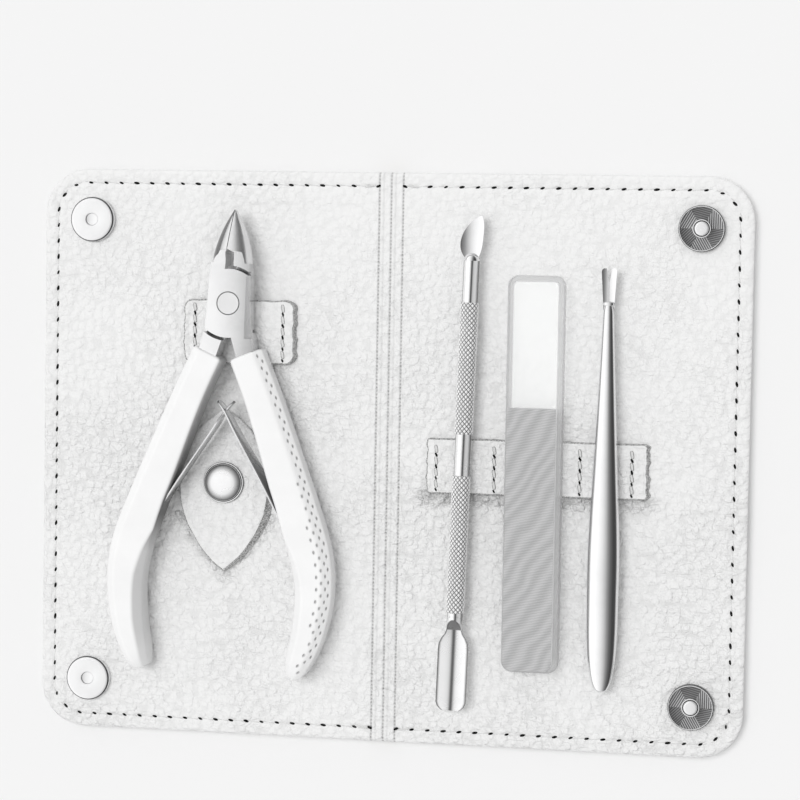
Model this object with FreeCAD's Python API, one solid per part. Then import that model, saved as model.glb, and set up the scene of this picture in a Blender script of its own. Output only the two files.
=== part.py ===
"""Bifold leather case with a nail care set: nipper, cuticle pusher, glass file and cuticle fork.

The case lies open on its back. X runs across the two covers to the right, Y towards the top edge of
the case and Z up. The origin lies under the middle of the spine, on the surface that carries the case.
Lengths are in millimetres and angles in degrees.
"""
import FreeCAD
import Part
import math
import os

V = FreeCAD.Vector

# Case: two covers of leather over board, joined by a narrow spine
case_height = 128.0
cover_width = 77.5
cover_corner = 10.0
skin_thickness = 0.8
board_thickness = 1.4
lining_thickness = 0.8
lip_width = 1.2
board_clearance = 0.15
spine_width = 5.4
crease_gap = 0.3
seam_margin = 2.8
thread_width = 0.5
thread_height = 0.2

# Distances from the middle of a cover are counted to the right
# Corner snaps: sockets on the left cover, magnets with a pin on the right one
snap_radius = 5.1
snap_inset = 11.4
snap_height = 1.5
snap_edge_round = 0.4
socket_depth = 0.5
stem_radius = 1.2
stem_clearance = 0.05
pin_radius = 1.5
pin_rise = 0.35
pin_clearance = 0.1
well_radius = 2.1
well_depth = 0.5
washer_radius = 4.0
washer_thickness = 0.5

# Leaf tab that turns on its snap stud
tab_from_middle = 4.35
tab_y = -6.4
tab_half_width = 10.5
tab_half_length = 20.2
tab_thickness = 1.0
tab_gap = 0.3
tab_clearance = 0.4
stud_radius = 1.5
stud_flange_radius = 3.4
stud_rise = 0.6
stud_clearance = 0.05
cap_radius = 4.7
cap_rim = 0.5
cap_dome_radius = 4.0
cap_height = 1.7
cap_barrel_radius = 2.3

# Straps sewn to the lining
nipper_strap_from_middle = 7.45
nipper_strap_y = 27.8
nipper_strap_length = 25.6
nipper_strap_width = 14.4
nipper_strap_corner = 2.2
nipper_seam_inset = 2.6
tool_strap_from_middle = -7.95
tool_strap_y = -1.1
tool_strap_length = 49.4
tool_strap_width = 12.4
tool_strap_thickness = 1.0
tool_strap_corner = 1.0
tool_seam_shares = (-0.455, -0.19, 0.197, 0.43)
rest_gap = 0.1

# Nipper: lap-jointed levers, drawn about the rivet with the jaws along +Y, then turned and placed
rivet_from_middle = 6.35
rivet_y = 34.3
nipper_tilt = 1.6
rivet_radius = 2.6
rivet_clearance = 0.05
head_half_width = 4.75
head_flare = 0.45
head_thickness = 5.6
lap_radius = 7.7
lap_clearance = 0.1
slot_gap = 0.75
plate_bevel = 0.8
jaw_reach = 20.9
seam_gap = 0.15
seam_root_shift = -0.7
seam_tip_shift = 0.25
relief_left = 1.05
relief_right = 0.95
relief_top = 11.4
apex_reach = 12.1
chevron_left = 10.3
chevron_right = 10.0
hollow_radius = 3.0
hollow_depth = 0.45
hollow_reach = 9.3
# Along the jaws, half width and half thickness, each as a share of its own size, and squareness
beak_shares = (
    (0.430, 0.95, 1.24, 0.55),
    (0.545, 0.88, 1.16, 0.40),
    (0.660, 0.75, 1.00, 0.28),
    (0.775, 0.57, 0.78, 0.18),
    (0.885, 0.34, 0.52, 0.10),
    (1.000, 0.06, 0.18, 0.00),
)
beak_ring_count = 24
crotch_x = 1.0
shank_width = 4.2
shank_shoulder = 5.0
tang_width = 3.4
tang_height = 4.0
tang_overlap = 0.6
handle_reach = 84.0
handle_spread = 21.9
grip_width = 9.1
grip_height = 6.2
grip_bevel = 2.0
grip_foot = 1.4
grip_fit = 0.1
# Along the handle, out from the middle, grip width, foot and grip height left at the end, as shares
handle_shares = (
    (0.133, 0.196, 0.83, 0.0, 1.00),
    (0.226, 0.349, 0.84, 0.0, 1.00),
    (0.321, 0.491, 0.88, 0.0, 1.00),
    (0.452, 0.674, 0.95, 0.0, 1.00),
    (0.536, 0.795, 0.97, 0.0, 1.00),
    (0.655, 0.945, 1.00, 0.0, 1.00),
    (0.762, 1.000, 0.93, 0.4, 1.00),
    (0.869, 0.957, 0.81, 0.9, 1.00),
    (0.952, 0.865, 0.62, 1.0, 0.96),
    (0.995, 0.795, 0.36, 0.9, 0.72),
)
tang_stations = 8
root_station_count = 5
spring_width = 4.6
spring_thickness = 0.5
spring_seat = 0.1
spring_clearance = 0.3
tongue_width = 1.5
window_width = 2.3
window_shares = (0.270, 0.318)
spring_rivet_radius = 0.7
spring_rivet_head = 0.3
spring_rivet_bite = 1.2
# Out from the middle and along the handle, from the grip to the tip that crosses the other spring
spring_shares = (
    (0.694, 0.583),
    (0.521, 0.506),
    (0.393, 0.452),
    (0.260, 0.398),
    (0.110, 0.336),
    (0.000, 0.288),
    (-0.087, 0.262),
)

# Cuticle pusher, drawn along +Y from the end of its spoon, then turned and placed
pusher_from_middle = -25.85
pusher_y = -55.5
pusher_tilt = 1.7
plain_radius = 1.75
knurl_radius = 2.08
knurl_chamfer = 0.3
spoon_length = 15.2
spoon_neck = 5.8
end_land = 0.9
lower_knurl = 30.8
middle_plain = 9.1
upper_knurl = 29.3
upper_plain = 9.2
scraper_length = 10.0
spoon_half_width = 3.4
spoon_end_rise = 1.6
spoon_shoulder = 1.6
spoon_dish = 0.9
spoon_thickness = 0.9
spoon_floor = -0.5
scoop_overlap = 2.0
stem_fit = 0.05
press_radius = 1.0
press_length = 6.0
scraper_half_width = 2.6
scraper_thickness = 1.3
scraper_dish = 0.5
# Scraper outline from its root round the bulge to the point, and back, across and along
scraper_bulge_shares = ((-0.62, 0.07), (-1.00, 0.34), (-0.80, 0.60), (-0.12, 0.86))
scraper_point_share = 0.73
scraper_back_shares = ((0.92, 0.86), (0.94, 0.55), (0.80, 0.24), (0.55, 0.05))

# Glass file
file_from_middle = -8.25
file_y = -2.2
file_length = 87.9
file_width = 12.7
file_thickness = 3.0
file_corner = 2.4
file_bevel = 0.5

# Cuticle fork, drawn along +Y from the end of its handle
fork_from_middle = 7.65
fork_y = -49.5
fork_handle_length = 84.6
fork_prong_length = 8.5
fork_width = 7.1
fork_height = 4.1
fork_tip_width = 3.4
fork_tip_thickness = 1.1
fork_neck_width = 2.2
fork_step = 0.9
notch_width = 1.15
notch_depth = 3.0
slit_width = 0.3
slit_depth = 7.0
# Along the handle, width and height, as shares
fork_shares = (
    (0.000, 0.30, 0.32),
    (0.030, 0.57, 0.55),
    (0.080, 0.77, 0.74),
    (0.150, 0.93, 0.90),
    (0.240, 0.99, 0.98),
    (0.340, 1.00, 1.00),
    (0.440, 0.93, 0.95),
    (0.560, 0.79, 0.85),
    (0.700, 0.63, 0.73),
    (0.840, 0.48, 0.60),
    (1.000, 0.31, 0.46),
)

overrun = 1.0

# Places that follow from the sizes above
board_top = skin_thickness + board_thickness
lining_top = board_top + lining_thickness
cover_start = spine_width / 2 + crease_gap
cover_end = cover_start + cover_width
half_height = case_height / 2
cover_middle = (cover_start + cover_end) / 2
tab_x = tab_from_middle - cover_middle
nipper_strap_x = nipper_strap_from_middle - cover_middle
rivet_x = rivet_from_middle - cover_middle
tool_strap_x = cover_middle + tool_strap_from_middle
pusher_x = cover_middle + pusher_from_middle
file_x = cover_middle + file_from_middle
fork_x = cover_middle + fork_from_middle
tab_bottom = lining_top + tab_gap
tab_top = tab_bottom + tab_thickness
nipper_seat = tab_top + tab_clearance
nipper_strap_top = nipper_seat - rest_gap
lap_plane = nipper_seat + head_thickness / 2
grip_top = nipper_seat + grip_height
grip_middle = nipper_seat + grip_height / 2
tool_seat = lining_top + tool_strap_thickness + rest_gap


# Shapes
def box(x0, x1, y0, y1, z0, z1):
    """A block between two corners."""
    return Part.makeBox(x1 - x0, y1 - y0, z1 - z0, V(x0, y0, z0))


def post(radius, x, y, z0, z1):
    """An upright round post."""
    return Part.makeCylinder(radius, z1 - z0, V(x, y, z0))


def prism(edges, z0, z1):
    """The outline that the edges close, drawn at height zero, raised from z0 to z1."""
    face = Part.Face(Part.Wire(edges))
    face.translate(V(0, 0, z0))
    return face.extrude(V(0, 0, z1 - z0))


def polygon(points):
    """Straight edges through plan points, closed."""
    corners = [V(x, y, 0) for x, y in points]
    return Part.makePolygon(corners + corners[:1]).Edges


def curve(points):
    """One smooth edge through plan points."""
    spline = Part.BSplineCurve()
    spline.interpolate([V(x, y, 0) for x, y in points])
    return spline.toShape()


def line(start, end):
    """One straight edge between plan points."""
    return Part.makeLine(V(start[0], start[1], 0), V(end[0], end[1], 0))


def arc(start, middle, end):
    """One round edge through three plan points."""
    return Part.Arc(V(*start, 0), V(*middle, 0), V(*end, 0)).toShape()


def rounded_plate(x0, x1, y0, y1, z0, z1, radius):
    """A plate with four round corners."""
    plate = box(x0, x1, y0, y1, z0, z1)
    upright = [e for e in plate.Edges if e.BoundBox.ZLength > (z1 - z0) / 2]
    return plate.makeFillet(radius, upright)


def turned(points):
    """A solid of revolution about Z from points of radius and height."""
    outline = [V(radius, 0, height) for radius, height in points]
    face = Part.Face(Part.makePolygon(outline + outline[:1]))
    return face.revolve(V(0, 0, 0), V(0, 0, 1), 360)


def top_edges(shape, height):
    """The edges that lie wholly at one height."""
    slack = thread_height / 10
    return [e for e in shape.Edges
            if abs(e.BoundBox.ZMin - height) < slack and abs(e.BoundBox.ZMax - height) < slack]


def write(name, shape):
    """Saves one node, as a single solid or as a group of separate ones."""
    solids = shape.Solids
    node = solids[0] if len(solids) == 1 else Part.makeCompound(solids)
    node.exportStep("parts/" + name + ".step")


# Case
def cover_plate(side, inset, crease_inset, z0, z1):
    """A plate of one cover's outline, drawn in by inset on three sides and by crease_inset at the spine."""
    inner = cover_start + crease_inset
    outer = cover_end - inset
    low = inset - half_height
    high = half_height - inset
    radius = cover_corner - inset
    diagonal = radius * (1 - math.sqrt(0.5))
    edges = [
        line((inner, low), (outer - radius, low)),
        arc((outer - radius, low), (outer - diagonal, low + diagonal), (outer, low + radius)),
        line((outer, low + radius), (outer, high - radius)),
        arc((outer, high - radius), (outer - diagonal, high - diagonal), (outer - radius, high)),
        line((outer - radius, high), (inner, high)),
        line((inner, high), (inner, low)),
    ]
    plate = prism(edges, z0, z1)
    return plate if side > 0 else plate.mirror(V(0, 0, 0), V(1, 0, 0))


def snap_places(side):
    """The upper and lower snap of one cover."""
    x = side * (cover_end - snap_inset)
    y = half_height - snap_inset
    return ((x, y), (x, -y))


def cover_pieces(side):
    """The outer skin, the board, the lining and the edge seam's thread of one cover."""
    board_inset = lip_width + board_clearance
    skin = cover_plate(side, 0, 0, 0, board_top)
    skin = skin.cut(cover_plate(side, lip_width, lip_width, skin_thickness, board_top + overrun))
    board = cover_plate(side, board_inset, board_inset, skin_thickness, board_top)
    lining = cover_plate(side, 0, 0, board_top, lining_top)
    for x, y in snap_places(side):
        hole = post(stem_radius + stem_clearance, x, y, 0, lining_top + overrun)
        pocket = post(washer_radius + board_clearance, x, y, 0, skin_thickness + washer_thickness)
        board = board.cut(hole).cut(pocket)
        lining = lining.cut(hole)
    thread = cover_plate(side, seam_margin, 0, lining_top, lining_top + thread_height)
    inner_edge = seam_margin + thread_width
    thread = thread.cut(cover_plate(side, inner_edge, -overrun, lining_top - overrun, lining_top + overrun))
    return skin, board, lining, thread


def spine_strip(z0, z1):
    """One layer of the spine."""
    return box(-spine_width / 2, spine_width / 2, -half_height, half_height, z0, z1)


def snap_disc(x, y, hole_radius, hole_depth):
    """A snap's disc with its stem below and a blind hole in its face."""
    top = lining_top + snap_height
    disc = post(snap_radius, x, y, lining_top, top)
    disc = disc.makeFillet(snap_edge_round, top_edges(disc, top))
    disc = disc.cut(post(hole_radius, x, y, top - hole_depth, top + overrun))
    return disc.fuse(post(stem_radius, x, y, skin_thickness, lining_top)).removeSplitter()


def snap_pin(x, y):
    """The pin that stands in a magnet's well."""
    top = lining_top + snap_height
    pin = post(pin_radius, x, y, top - well_depth, top + pin_rise)
    return pin.makeFillet(pin_rise / 2, top_edges(pin, top + pin_rise))


def snap_washers(side):
    """The hidden washers that hold one cover's two snaps from behind the board."""
    washers = []
    for x, y in snap_places(side):
        washer = post(washer_radius, x, y, skin_thickness, skin_thickness + washer_thickness)
        washers.append(washer.cut(post(stem_radius + stem_clearance, x, y, 0, lining_top)))
    return Part.makeCompound(washers)


def strap(x, y, length, width, corner, top):
    """A flat strap lying on the lining."""
    wide = length / 2
    deep = width / 2
    return rounded_plate(x - wide, x + wide, y - deep, y + deep, lining_top, top, corner)


def strap_seams(places, y, width, top):
    """The thread of the seams that cross a strap."""
    half = thread_width / 2
    deep = width / 2
    seams = [box(x - half, x + half, y - deep, y + deep, top, top + thread_height) for x in places]
    return Part.makeCompound(seams)


# Leaf tab and its snap
def leaf_tab():
    """The leaf: two equal arcs that meet in a point at each end, with a hole for the snap's barrel."""
    low = (tab_x, tab_y - tab_half_length)
    high = (tab_x, tab_y + tab_half_length)
    edges = [
        arc(low, (tab_x + tab_half_width, tab_y), high),
        arc(high, (tab_x - tab_half_width, tab_y), low),
    ]
    leaf = prism(edges, tab_bottom, tab_top)
    return leaf.cut(post(cap_barrel_radius, tab_x, tab_y, 0, tab_top + overrun))


def tab_stud():
    """The stud on the lining: a low flange under the tab and a post up into the cap."""
    flange = post(stud_flange_radius, tab_x, tab_y, lining_top, tab_bottom - stud_clearance)
    return flange.fuse(post(stud_radius, tab_x, tab_y, lining_top, tab_top + stud_rise)).removeSplitter()


def snap_cap():
    """The domed cap, with a barrel that passes through the tab and holds the stud."""
    rim_top = tab_top + cap_rim
    dome_rise = cap_height - cap_rim
    bore = stud_radius + stud_clearance
    roof = tab_top + stud_rise + stud_clearance
    cap = turned([(bore, tab_bottom), (cap_barrel_radius, tab_bottom), (cap_barrel_radius, tab_top),
                  (cap_radius, tab_top), (cap_radius, rim_top), (0, rim_top), (0, roof), (bore, roof)])
    ball_radius = (cap_dome_radius ** 2 + dome_rise ** 2) / (2 * dome_rise)
    ball = Part.makeSphere(ball_radius, V(0, 0, tab_top + cap_height - ball_radius))
    above = post(cap_radius, 0, 0, rim_top, tab_top + cap_height + overrun)
    dome = ball.common(above)
    hollow = post(bore, 0, 0, tab_bottom - overrun, roof)
    cap = cap.fuse(dome.cut(hollow)).removeSplitter()
    cap.translate(V(tab_x, tab_y, 0))
    return cap


# Nipper
def place_nipper(shape):
    """Turns a nipper piece to its tilt and moves it to the rivet's place."""
    shape.rotate(V(0, 0, 0), V(0, 0, 1), -nipper_tilt)
    shape.translate(V(rivet_x, rivet_y, 0))
    return shape


def flip(shape):
    """Turns a shape half round about the nipper's length, which swaps front and rear."""
    shape.rotate(V(0, 0, lap_plane), V(0, 1, 0), 180)
    return shape


def mirrored(shape):
    """The left-hand twin of a handle piece."""
    return shape.mirror(V(0, 0, 0), V(1, 0, 0))


def handle_frames():
    """The centre, the outward normal and the direction along the handle at each station."""
    centres = [V(shares[1] * handle_spread, -shares[0] * handle_reach, 0) for shares in handle_shares]
    frames = []
    for index, centre in enumerate(centres):
        before = centres[max(index - 1, 0)]
        after = centres[min(index + 1, len(centres) - 1)]
        along = (after - before).normalize()
        frames.append((centre, V(-along.y, along.x, 0), along))
    return frames


def section(centre, normal, outline):
    """A closed wire across the handle from points of distance out and height."""
    points = [V(centre.x + normal.x * out, centre.y + normal.y * out, height) for out, height in outline]
    return Part.makePolygon(points + points[:1])


def beak(side):
    """The round taper of the closed jaws, from behind the apex to the tip."""
    wires = []
    for along, across, through, squareness in beak_shares:
        wide = across * head_half_width
        deep = through * head_thickness / 2
        power = 1 - squareness / 2
        points = []
        for step in range(beak_ring_count):
            angle = 2 * math.pi * step / beak_ring_count
            out = math.copysign(abs(math.cos(angle)) ** power, math.cos(angle)) * wide
            up = math.copysign(abs(math.sin(angle)) ** power, math.sin(angle)) * deep
            points.append(V(side * seam_tip_shift * along + out, along * jaw_reach, lap_plane + up))
        ring = Part.BSplineCurve()
        ring.interpolate(points, PeriodicFlag=True)
        wires.append(Part.Wire(ring.toShape()))
    return Part.makeLoft(wires, True, False)


def head_outline(z0, z1):
    """The plan of the lap plates and jaw roots, a little wider towards the handles."""
    root = beak_shares[0][0] * jaw_reach
    upper = head_half_width - head_flare
    lower = head_half_width + head_flare
    outline = [(-lower, -lap_radius), (lower, -lap_radius), (upper, root), (-upper, root)]
    return prism(polygon(outline), z0, z1)


def lever_head(side):
    """Jaw, lap plate and shank of the front lever, or of the rear one before it is flipped."""
    top = nipper_seat + head_thickness
    lap_top = lap_plane + lap_clearance / 2
    far = jaw_reach + overrun
    wide = 2 * head_half_width
    root = beak_shares[0][0] * jaw_reach
    relief = relief_left if side > 0 else relief_right
    apex = side * seam_root_shift - seam_gap / 2
    tip = side * seam_tip_shift - seam_gap / 2
    block = head_outline(nipper_seat, top).common(box(-wide, wide, 0, root, nipper_seat, top))
    taper = beak(side)
    chevron = polygon([(-wide, chevron_left), (side * seam_root_shift, apex_reach), (wide, chevron_right),
                       (wide, far), (-wide, far)])
    proud = taper.common(prism(chevron, nipper_seat - overrun, top + overrun))
    point = taper.common(box(-wide, wide, root, far, nipper_seat, top)).fuse(proud)
    jaw_side = polygon([(-wide, 0), (-relief, 0), (-relief, relief_top), (apex, apex_reach),
                        (tip, far), (-wide, far)])
    jaw = block.fuse(point).common(prism(jaw_side, nipper_seat - overrun, top + overrun))
    centre, normal, along = handle_frames()[0]
    inner = centre - normal * (shank_width / 2)
    outer = centre + normal * (shank_width / 2)
    shoulder = head_half_width + head_flare * shank_shoulder / lap_radius
    shank_outline = [(crotch_x, 0), (crotch_x, -lap_radius), (inner.x, inner.y), (outer.x, outer.y),
                     (shoulder, -shank_shoulder), (head_half_width, 0)]
    shank = prism(polygon(shank_outline), nipper_seat, top)
    clearing = post(lap_radius + slot_gap, 0, 0, nipper_seat - overrun, lap_top)
    plate = post(lap_radius, 0, 0, lap_top, top)
    plate = plate.common(head_outline(lap_top, top))
    outside = post(lap_radius + slot_gap, 0, 0, lap_top, top)
    jaw = jaw.cut(clearing).cut(outside.common(box(0, wide, -wide, wide, lap_top, top)))
    lever = plate.fuse(jaw).fuse(shank.cut(clearing)).removeSplitter()
    hollow_height = top + hollow_radius - hollow_depth
    hollow = Part.makeCylinder(hollow_radius, 2 * wide, V(-wide, hollow_reach, hollow_height), V(1, 0, 0))
    return lever.cut(hollow)


def bevel_prism(side_x, top):
    """A wedge that takes the outer top edge off the lap plate."""
    points = [V(side_x - plate_bevel, 0, top), V(side_x + overrun, 0, top),
              V(side_x + overrun, 0, top - plate_bevel - overrun)]
    face = Part.Face(Part.makePolygon(points + points[:1]))
    face.translate(V(0, -lap_radius, 0))
    return face.extrude(V(0, lap_radius + root_reach(), 0))


def root_reach():
    """How far the plate's bevel runs towards the jaws."""
    return math.sqrt(lap_radius ** 2 - head_half_width ** 2)


def tang(grow):
    """The bar inside the grip, or the space for it when it grows by the fit."""
    wide = tang_width / 2 + grow
    low = grip_middle - tang_height / 2 - grow
    high = grip_middle + tang_height / 2 + grow
    outline = [(-wide, low), (wide, low), (wide, high), (-wide, high)]
    frames = handle_frames()[:tang_stations]
    first, normal, along = frames[0]
    wires = [section(first - along * tang_overlap, normal, outline)]
    wires += [section(centre, across, outline) for centre, across, forward in frames[1:-1]]
    last, normal, along = frames[-1]
    wires.append(section(last + along * grow, normal, outline))
    return Part.makeLoft(wires, True, False)


def grip_body():
    """The right-hand grip's outside: bevelled sections along the handle, deeper at the free end."""
    wires = []
    for (centre, normal, along), shares in zip(handle_frames(), handle_shares):
        wide = shares[2] * grip_width / 2
        low = nipper_seat - shares[3] * grip_foot
        high = nipper_seat + shares[4] * grip_height
        bevel = min(grip_bevel, wide / 2)
        outline = [(-wide, low), (wide, low), (wide, high - bevel), (wide - bevel, high),
                   (bevel - wide, high), (-wide, high - bevel)]
        wires.append(section(centre, normal, outline))
    return Part.makeLoft(wires, True, False)


def spring_path():
    """Plan points of the right-hand spring from its root on the tang to its tip."""
    centre, normal, along = handle_frames()[root_station_count]
    root = centre - normal * (tang_width / 2 + spring_seat + spring_thickness / 2)
    free = [(out * handle_spread, -down * handle_reach) for out, down in spring_shares]
    return [(root.x, root.y)] + free


def strip(points, half_thickness, z0, z1):
    """A flat strip on edge that follows plan points."""
    left = []
    right = []
    for index, (x, y) in enumerate(points):
        before = points[max(index - 1, 0)]
        after = points[min(index + 1, len(points) - 1)]
        length = math.hypot(after[0] - before[0], after[1] - before[1])
        across = ((before[1] - after[1]) / length, (after[0] - before[0]) / length)
        left.append((x + across[0] * half_thickness, y + across[1] * half_thickness))
        right.append((x - across[0] * half_thickness, y - across[1] * half_thickness))
    edges = [curve(left), line(left[-1], right[-1]), curve(right[::-1]), line(right[0], left[0])]
    return prism(edges, z0, z1)


def spring_strip(grow):
    """The right-hand spring, or the space for it when it grows by the clearance."""
    half_width = spring_width / 2 + grow
    low = grip_middle - half_width
    high = grip_middle + half_width
    return strip(spring_path(), spring_thickness / 2 + grow, low, high)


def spring_rivet(grow):
    """The rivet that holds the right-hand spring's root to the tang."""
    root_x, root_y = spring_path()[0]
    centre, normal, along = handle_frames()[root_station_count]
    place = V(root_x, root_y, grip_middle) + along * (-spring_width / 2)
    start = place - normal * (spring_thickness / 2 + spring_rivet_head + grow)
    length = spring_thickness + spring_rivet_head + spring_seat + spring_rivet_bite + 2 * grow
    return Part.makeCylinder(spring_rivet_radius + grow, length, start, normal)


def crossing_box(width):
    """The band round the place where the springs cross."""
    low = -window_shares[1] * handle_reach
    high = -window_shares[0] * handle_reach
    reach = handle_spread / 2
    return box(-reach, reach, low, high, grip_middle - width / 2, grip_middle + width / 2)


def tongue_trim():
    """What is taken off a spring's end to leave its narrow tongue."""
    low = -window_shares[1] * handle_reach
    reach = handle_spread / 2
    tall = spring_width
    end = box(-reach, reach, low, 0, grip_middle - tall, grip_middle + tall)
    half = tongue_width / 2
    return end.cut(box(-reach, reach, low, 0, grip_middle - half, grip_middle + half))


def nipper_pieces():
    """Levers, rivet, grips, springs and spring rivets, by name."""
    handle = tang(0)
    rivet_hole = spring_rivet(stem_clearance)
    handle = handle.cut(rivet_hole)
    top = nipper_seat + head_thickness
    bore_low = nipper_seat - overrun
    front = lever_head(1).fuse(handle).removeSplitter()
    front = front.cut(bevel_prism(head_half_width, top))
    front = front.cut(post(rivet_radius + rivet_clearance, 0, 0, bore_low, top + overrun))
    rear = flip(lever_head(-1)).fuse(mirrored(handle)).removeSplitter()
    rear = rear.cut(post(rivet_radius, 0, 0, bore_low, top + overrun))
    rivet = post(rivet_radius, 0, 0, nipper_seat, top)
    rivet = rivet.makeFillet(rivet_clearance * 2, top_edges(rivet, top))
    spring = spring_strip(0).cut(rivet_hole)
    grip = grip_body().cut(tang(grip_fit))
    grip = grip.cut(spring_strip(spring_clearance)).cut(spring_rivet(spring_clearance))
    shapes = {
        "front_lever": front,
        "rear_lever": rear,
        "pivot_rivet": rivet,
        "front_grip": grip,
        "rear_grip": mirrored(grip),
        "front_spring": spring.cut(crossing_box(window_width)),
        "rear_spring": mirrored(spring.cut(tongue_trim())),
        "front_spring_rivet": spring_rivet(0),
        "rear_spring_rivet": mirrored(spring_rivet(0)),
    }
    return {name: place_nipper(shape) for name, shape in shapes.items()}


# Cuticle pusher
def rod(radius, y0, y1):
    """A round bar along Y on the pusher's axis."""
    return Part.makeCylinder(radius, y1 - y0, V(0, y0, 0), V(0, 1, 0))


def knurled_zone(y0, y1):
    """One knurled length of the handle, chamfered at both ends."""
    zone = rod(knurl_radius, y0, y1)
    return zone.makeChamfer(knurl_chamfer, [e for e in zone.Edges if e.Closed])


def trough(y0, y1):
    """A dished sheet along Y, with the hollow side up, and the room inside the hollow."""
    radius = (spoon_half_width ** 2 + spoon_dish ** 2) / (2 * spoon_dish)
    height = spoon_floor + radius
    outer = Part.makeCylinder(radius + spoon_thickness, y1 - y0, V(0, y0, height), V(0, 1, 0))
    inner = Part.makeCylinder(radius, y1 - y0, V(0, y0, height), V(0, 1, 0))
    return outer, inner


def pusher_spoon(start):
    """The spoon end with its round neck and the stem pressed into the handle."""
    outer, inner = trough(-overrun, spoon_length + scoop_overlap)
    wide = spoon_half_width
    shoulder = spoon_length - spoon_shoulder
    neck = spoon_length + scoop_overlap
    bend = spoon_shoulder * (1 - math.sqrt(0.5))
    outline = [
        arc((-wide, spoon_end_rise), (0, 0), (wide, spoon_end_rise)),
        line((wide, spoon_end_rise), (wide, shoulder)),
        arc((wide, shoulder), (wide - bend, spoon_length - bend), (wide - spoon_shoulder, spoon_length)),
        line((wide - spoon_shoulder, spoon_length), (0, neck)),
        line((0, neck), (spoon_shoulder - wide, spoon_length)),
        arc((spoon_shoulder - wide, spoon_length), (bend - wide, spoon_length - bend), (-wide, shoulder)),
        line((-wide, shoulder), (-wide, spoon_end_rise)),
    ]
    tall = plain_radius + spoon_dish
    bowl = outer.cut(inner).common(prism(outline, -tall, tall))
    bar = rod(plain_radius, shoulder - scoop_overlap, start).cut(inner)
    bar = bar.common(box(-wide, wide, 0, start, spoon_floor - spoon_thickness, tall).fuse(
        box(-wide, wide, spoon_length, start, -tall, tall)))
    return bowl.fuse(bar).fuse(rod(press_radius, start, start + press_length - stem_fit)).removeSplitter()


def pusher_handle(start, stops):
    """The bar with its two knurled zones, bored at both ends for the pressed-in tips."""
    bar = rod(plain_radius, start, stops[-1])
    bar = bar.fuse(knurled_zone(stops[0], stops[1])).fuse(knurled_zone(stops[2], stops[3])).removeSplitter()
    bore = press_radius + stem_fit
    bar = bar.cut(rod(bore, start - overrun, start + press_length))
    return bar.cut(rod(bore, stops[-1] - press_length, stops[-1] + overrun))


def scraper_points(shares, start):
    """Plan points of the scraper's outline from their shares."""
    return [(across * scraper_half_width, start + along * scraper_length) for across, along in shares]


def pusher_scraper(start):
    """The pointed scraper with its stem pressed into the handle."""
    point = (scraper_point_share * scraper_half_width, start + scraper_length)
    bulge = scraper_points(scraper_bulge_shares, start)
    back = scraper_points(scraper_back_shares, start)
    edges = [curve(bulge + [point]), curve([point] + back), line(back[-1], bulge[0])]
    half = scraper_thickness / 2
    blade = prism(edges, -half, half)
    reach = (scraper_half_width ** 2 + scraper_dish ** 2) / (2 * scraper_dish)
    dish_height = half + reach - scraper_dish
    dish = Part.makeCylinder(reach, 2 * scraper_length, V(0, start - overrun, dish_height), V(0, 1, 0))
    blade = blade.cut(dish)
    nose = Part.makeSphere(plain_radius, V(0, start, 0))
    nose = nose.common(rod(plain_radius, start, start + plain_radius))
    stem = rod(press_radius, start - press_length + stem_fit, start)
    return blade.fuse(nose).fuse(stem).removeSplitter()


def pusher_pieces():
    """Spoon, handle and scraper, placed on the tool strap, by name."""
    start = spoon_length + spoon_neck
    stops = [start + end_land]
    for length in (lower_knurl, middle_plain, upper_knurl, upper_plain):
        stops.append(stops[-1] + length)
    shapes = {
        "pusher_spoon": pusher_spoon(start),
        "pusher_handle": pusher_handle(start, stops),
        "pusher_scraper": pusher_scraper(stops[-1]),
    }
    for shape in shapes.values():
        shape.rotate(V(0, 0, 0), V(0, 0, 1), -pusher_tilt)
        shape.translate(V(pusher_x, pusher_y, tool_seat + knurl_radius))
    return shapes


# Glass file
def glass_file():
    """The glass plate with round corners and bevelled edges."""
    top = tool_seat + file_thickness
    plate = rounded_plate(file_x - file_width / 2, file_x + file_width / 2, file_y - file_length / 2,
                          file_y + file_length / 2, tool_seat, top, file_corner)
    return plate.makeChamfer(file_bevel, top_edges(plate, top) + top_edges(plate, tool_seat))


# Cuticle fork
def cuticle_fork():
    """The round tapered handle, ending in a flat blade with a V notch and a slit between its prongs."""
    wires = []
    for along, across, through in fork_shares:
        wide = across * fork_width / 2
        deep = through * fork_height / 2
        ring = Part.Ellipse(V(0, 0, 0), max(wide, deep), min(wide, deep)).toShape()
        if deep > wide:
            ring.rotate(V(0, 0, 0), V(0, 0, 1), 90)
        ring.rotate(V(0, 0, 0), V(1, 0, 0), 90)
        ring.translate(V(0, along * fork_handle_length, 0))
        wires.append(Part.Wire(ring))
    handle = Part.makeLoft(wires, True, False)
    root = fork_handle_length - fork_step
    tip = fork_handle_length + fork_prong_length
    neck = fork_neck_width / 2
    wide = fork_tip_width / 2
    half = fork_tip_thickness / 2
    blade = prism(polygon([(-neck, root), (neck, root), (wide, tip), (-wide, tip)]), -half, half)
    notch = polygon([(0, tip - notch_depth), (notch_width / 2, tip), (notch_width / 2, tip + overrun),
                     (-notch_width / 2, tip + overrun), (-notch_width / 2, tip)])
    slit = box(-slit_width / 2, slit_width / 2, tip - slit_depth, tip, -half - overrun, half + overrun)
    blade = blade.cut(prism(notch, -half - overrun, half + overrun)).cut(slit)
    fork = handle.fuse(blade).removeSplitter()
    fork.translate(V(fork_x, fork_y, tool_seat + fork_height / 2))
    return fork


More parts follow.
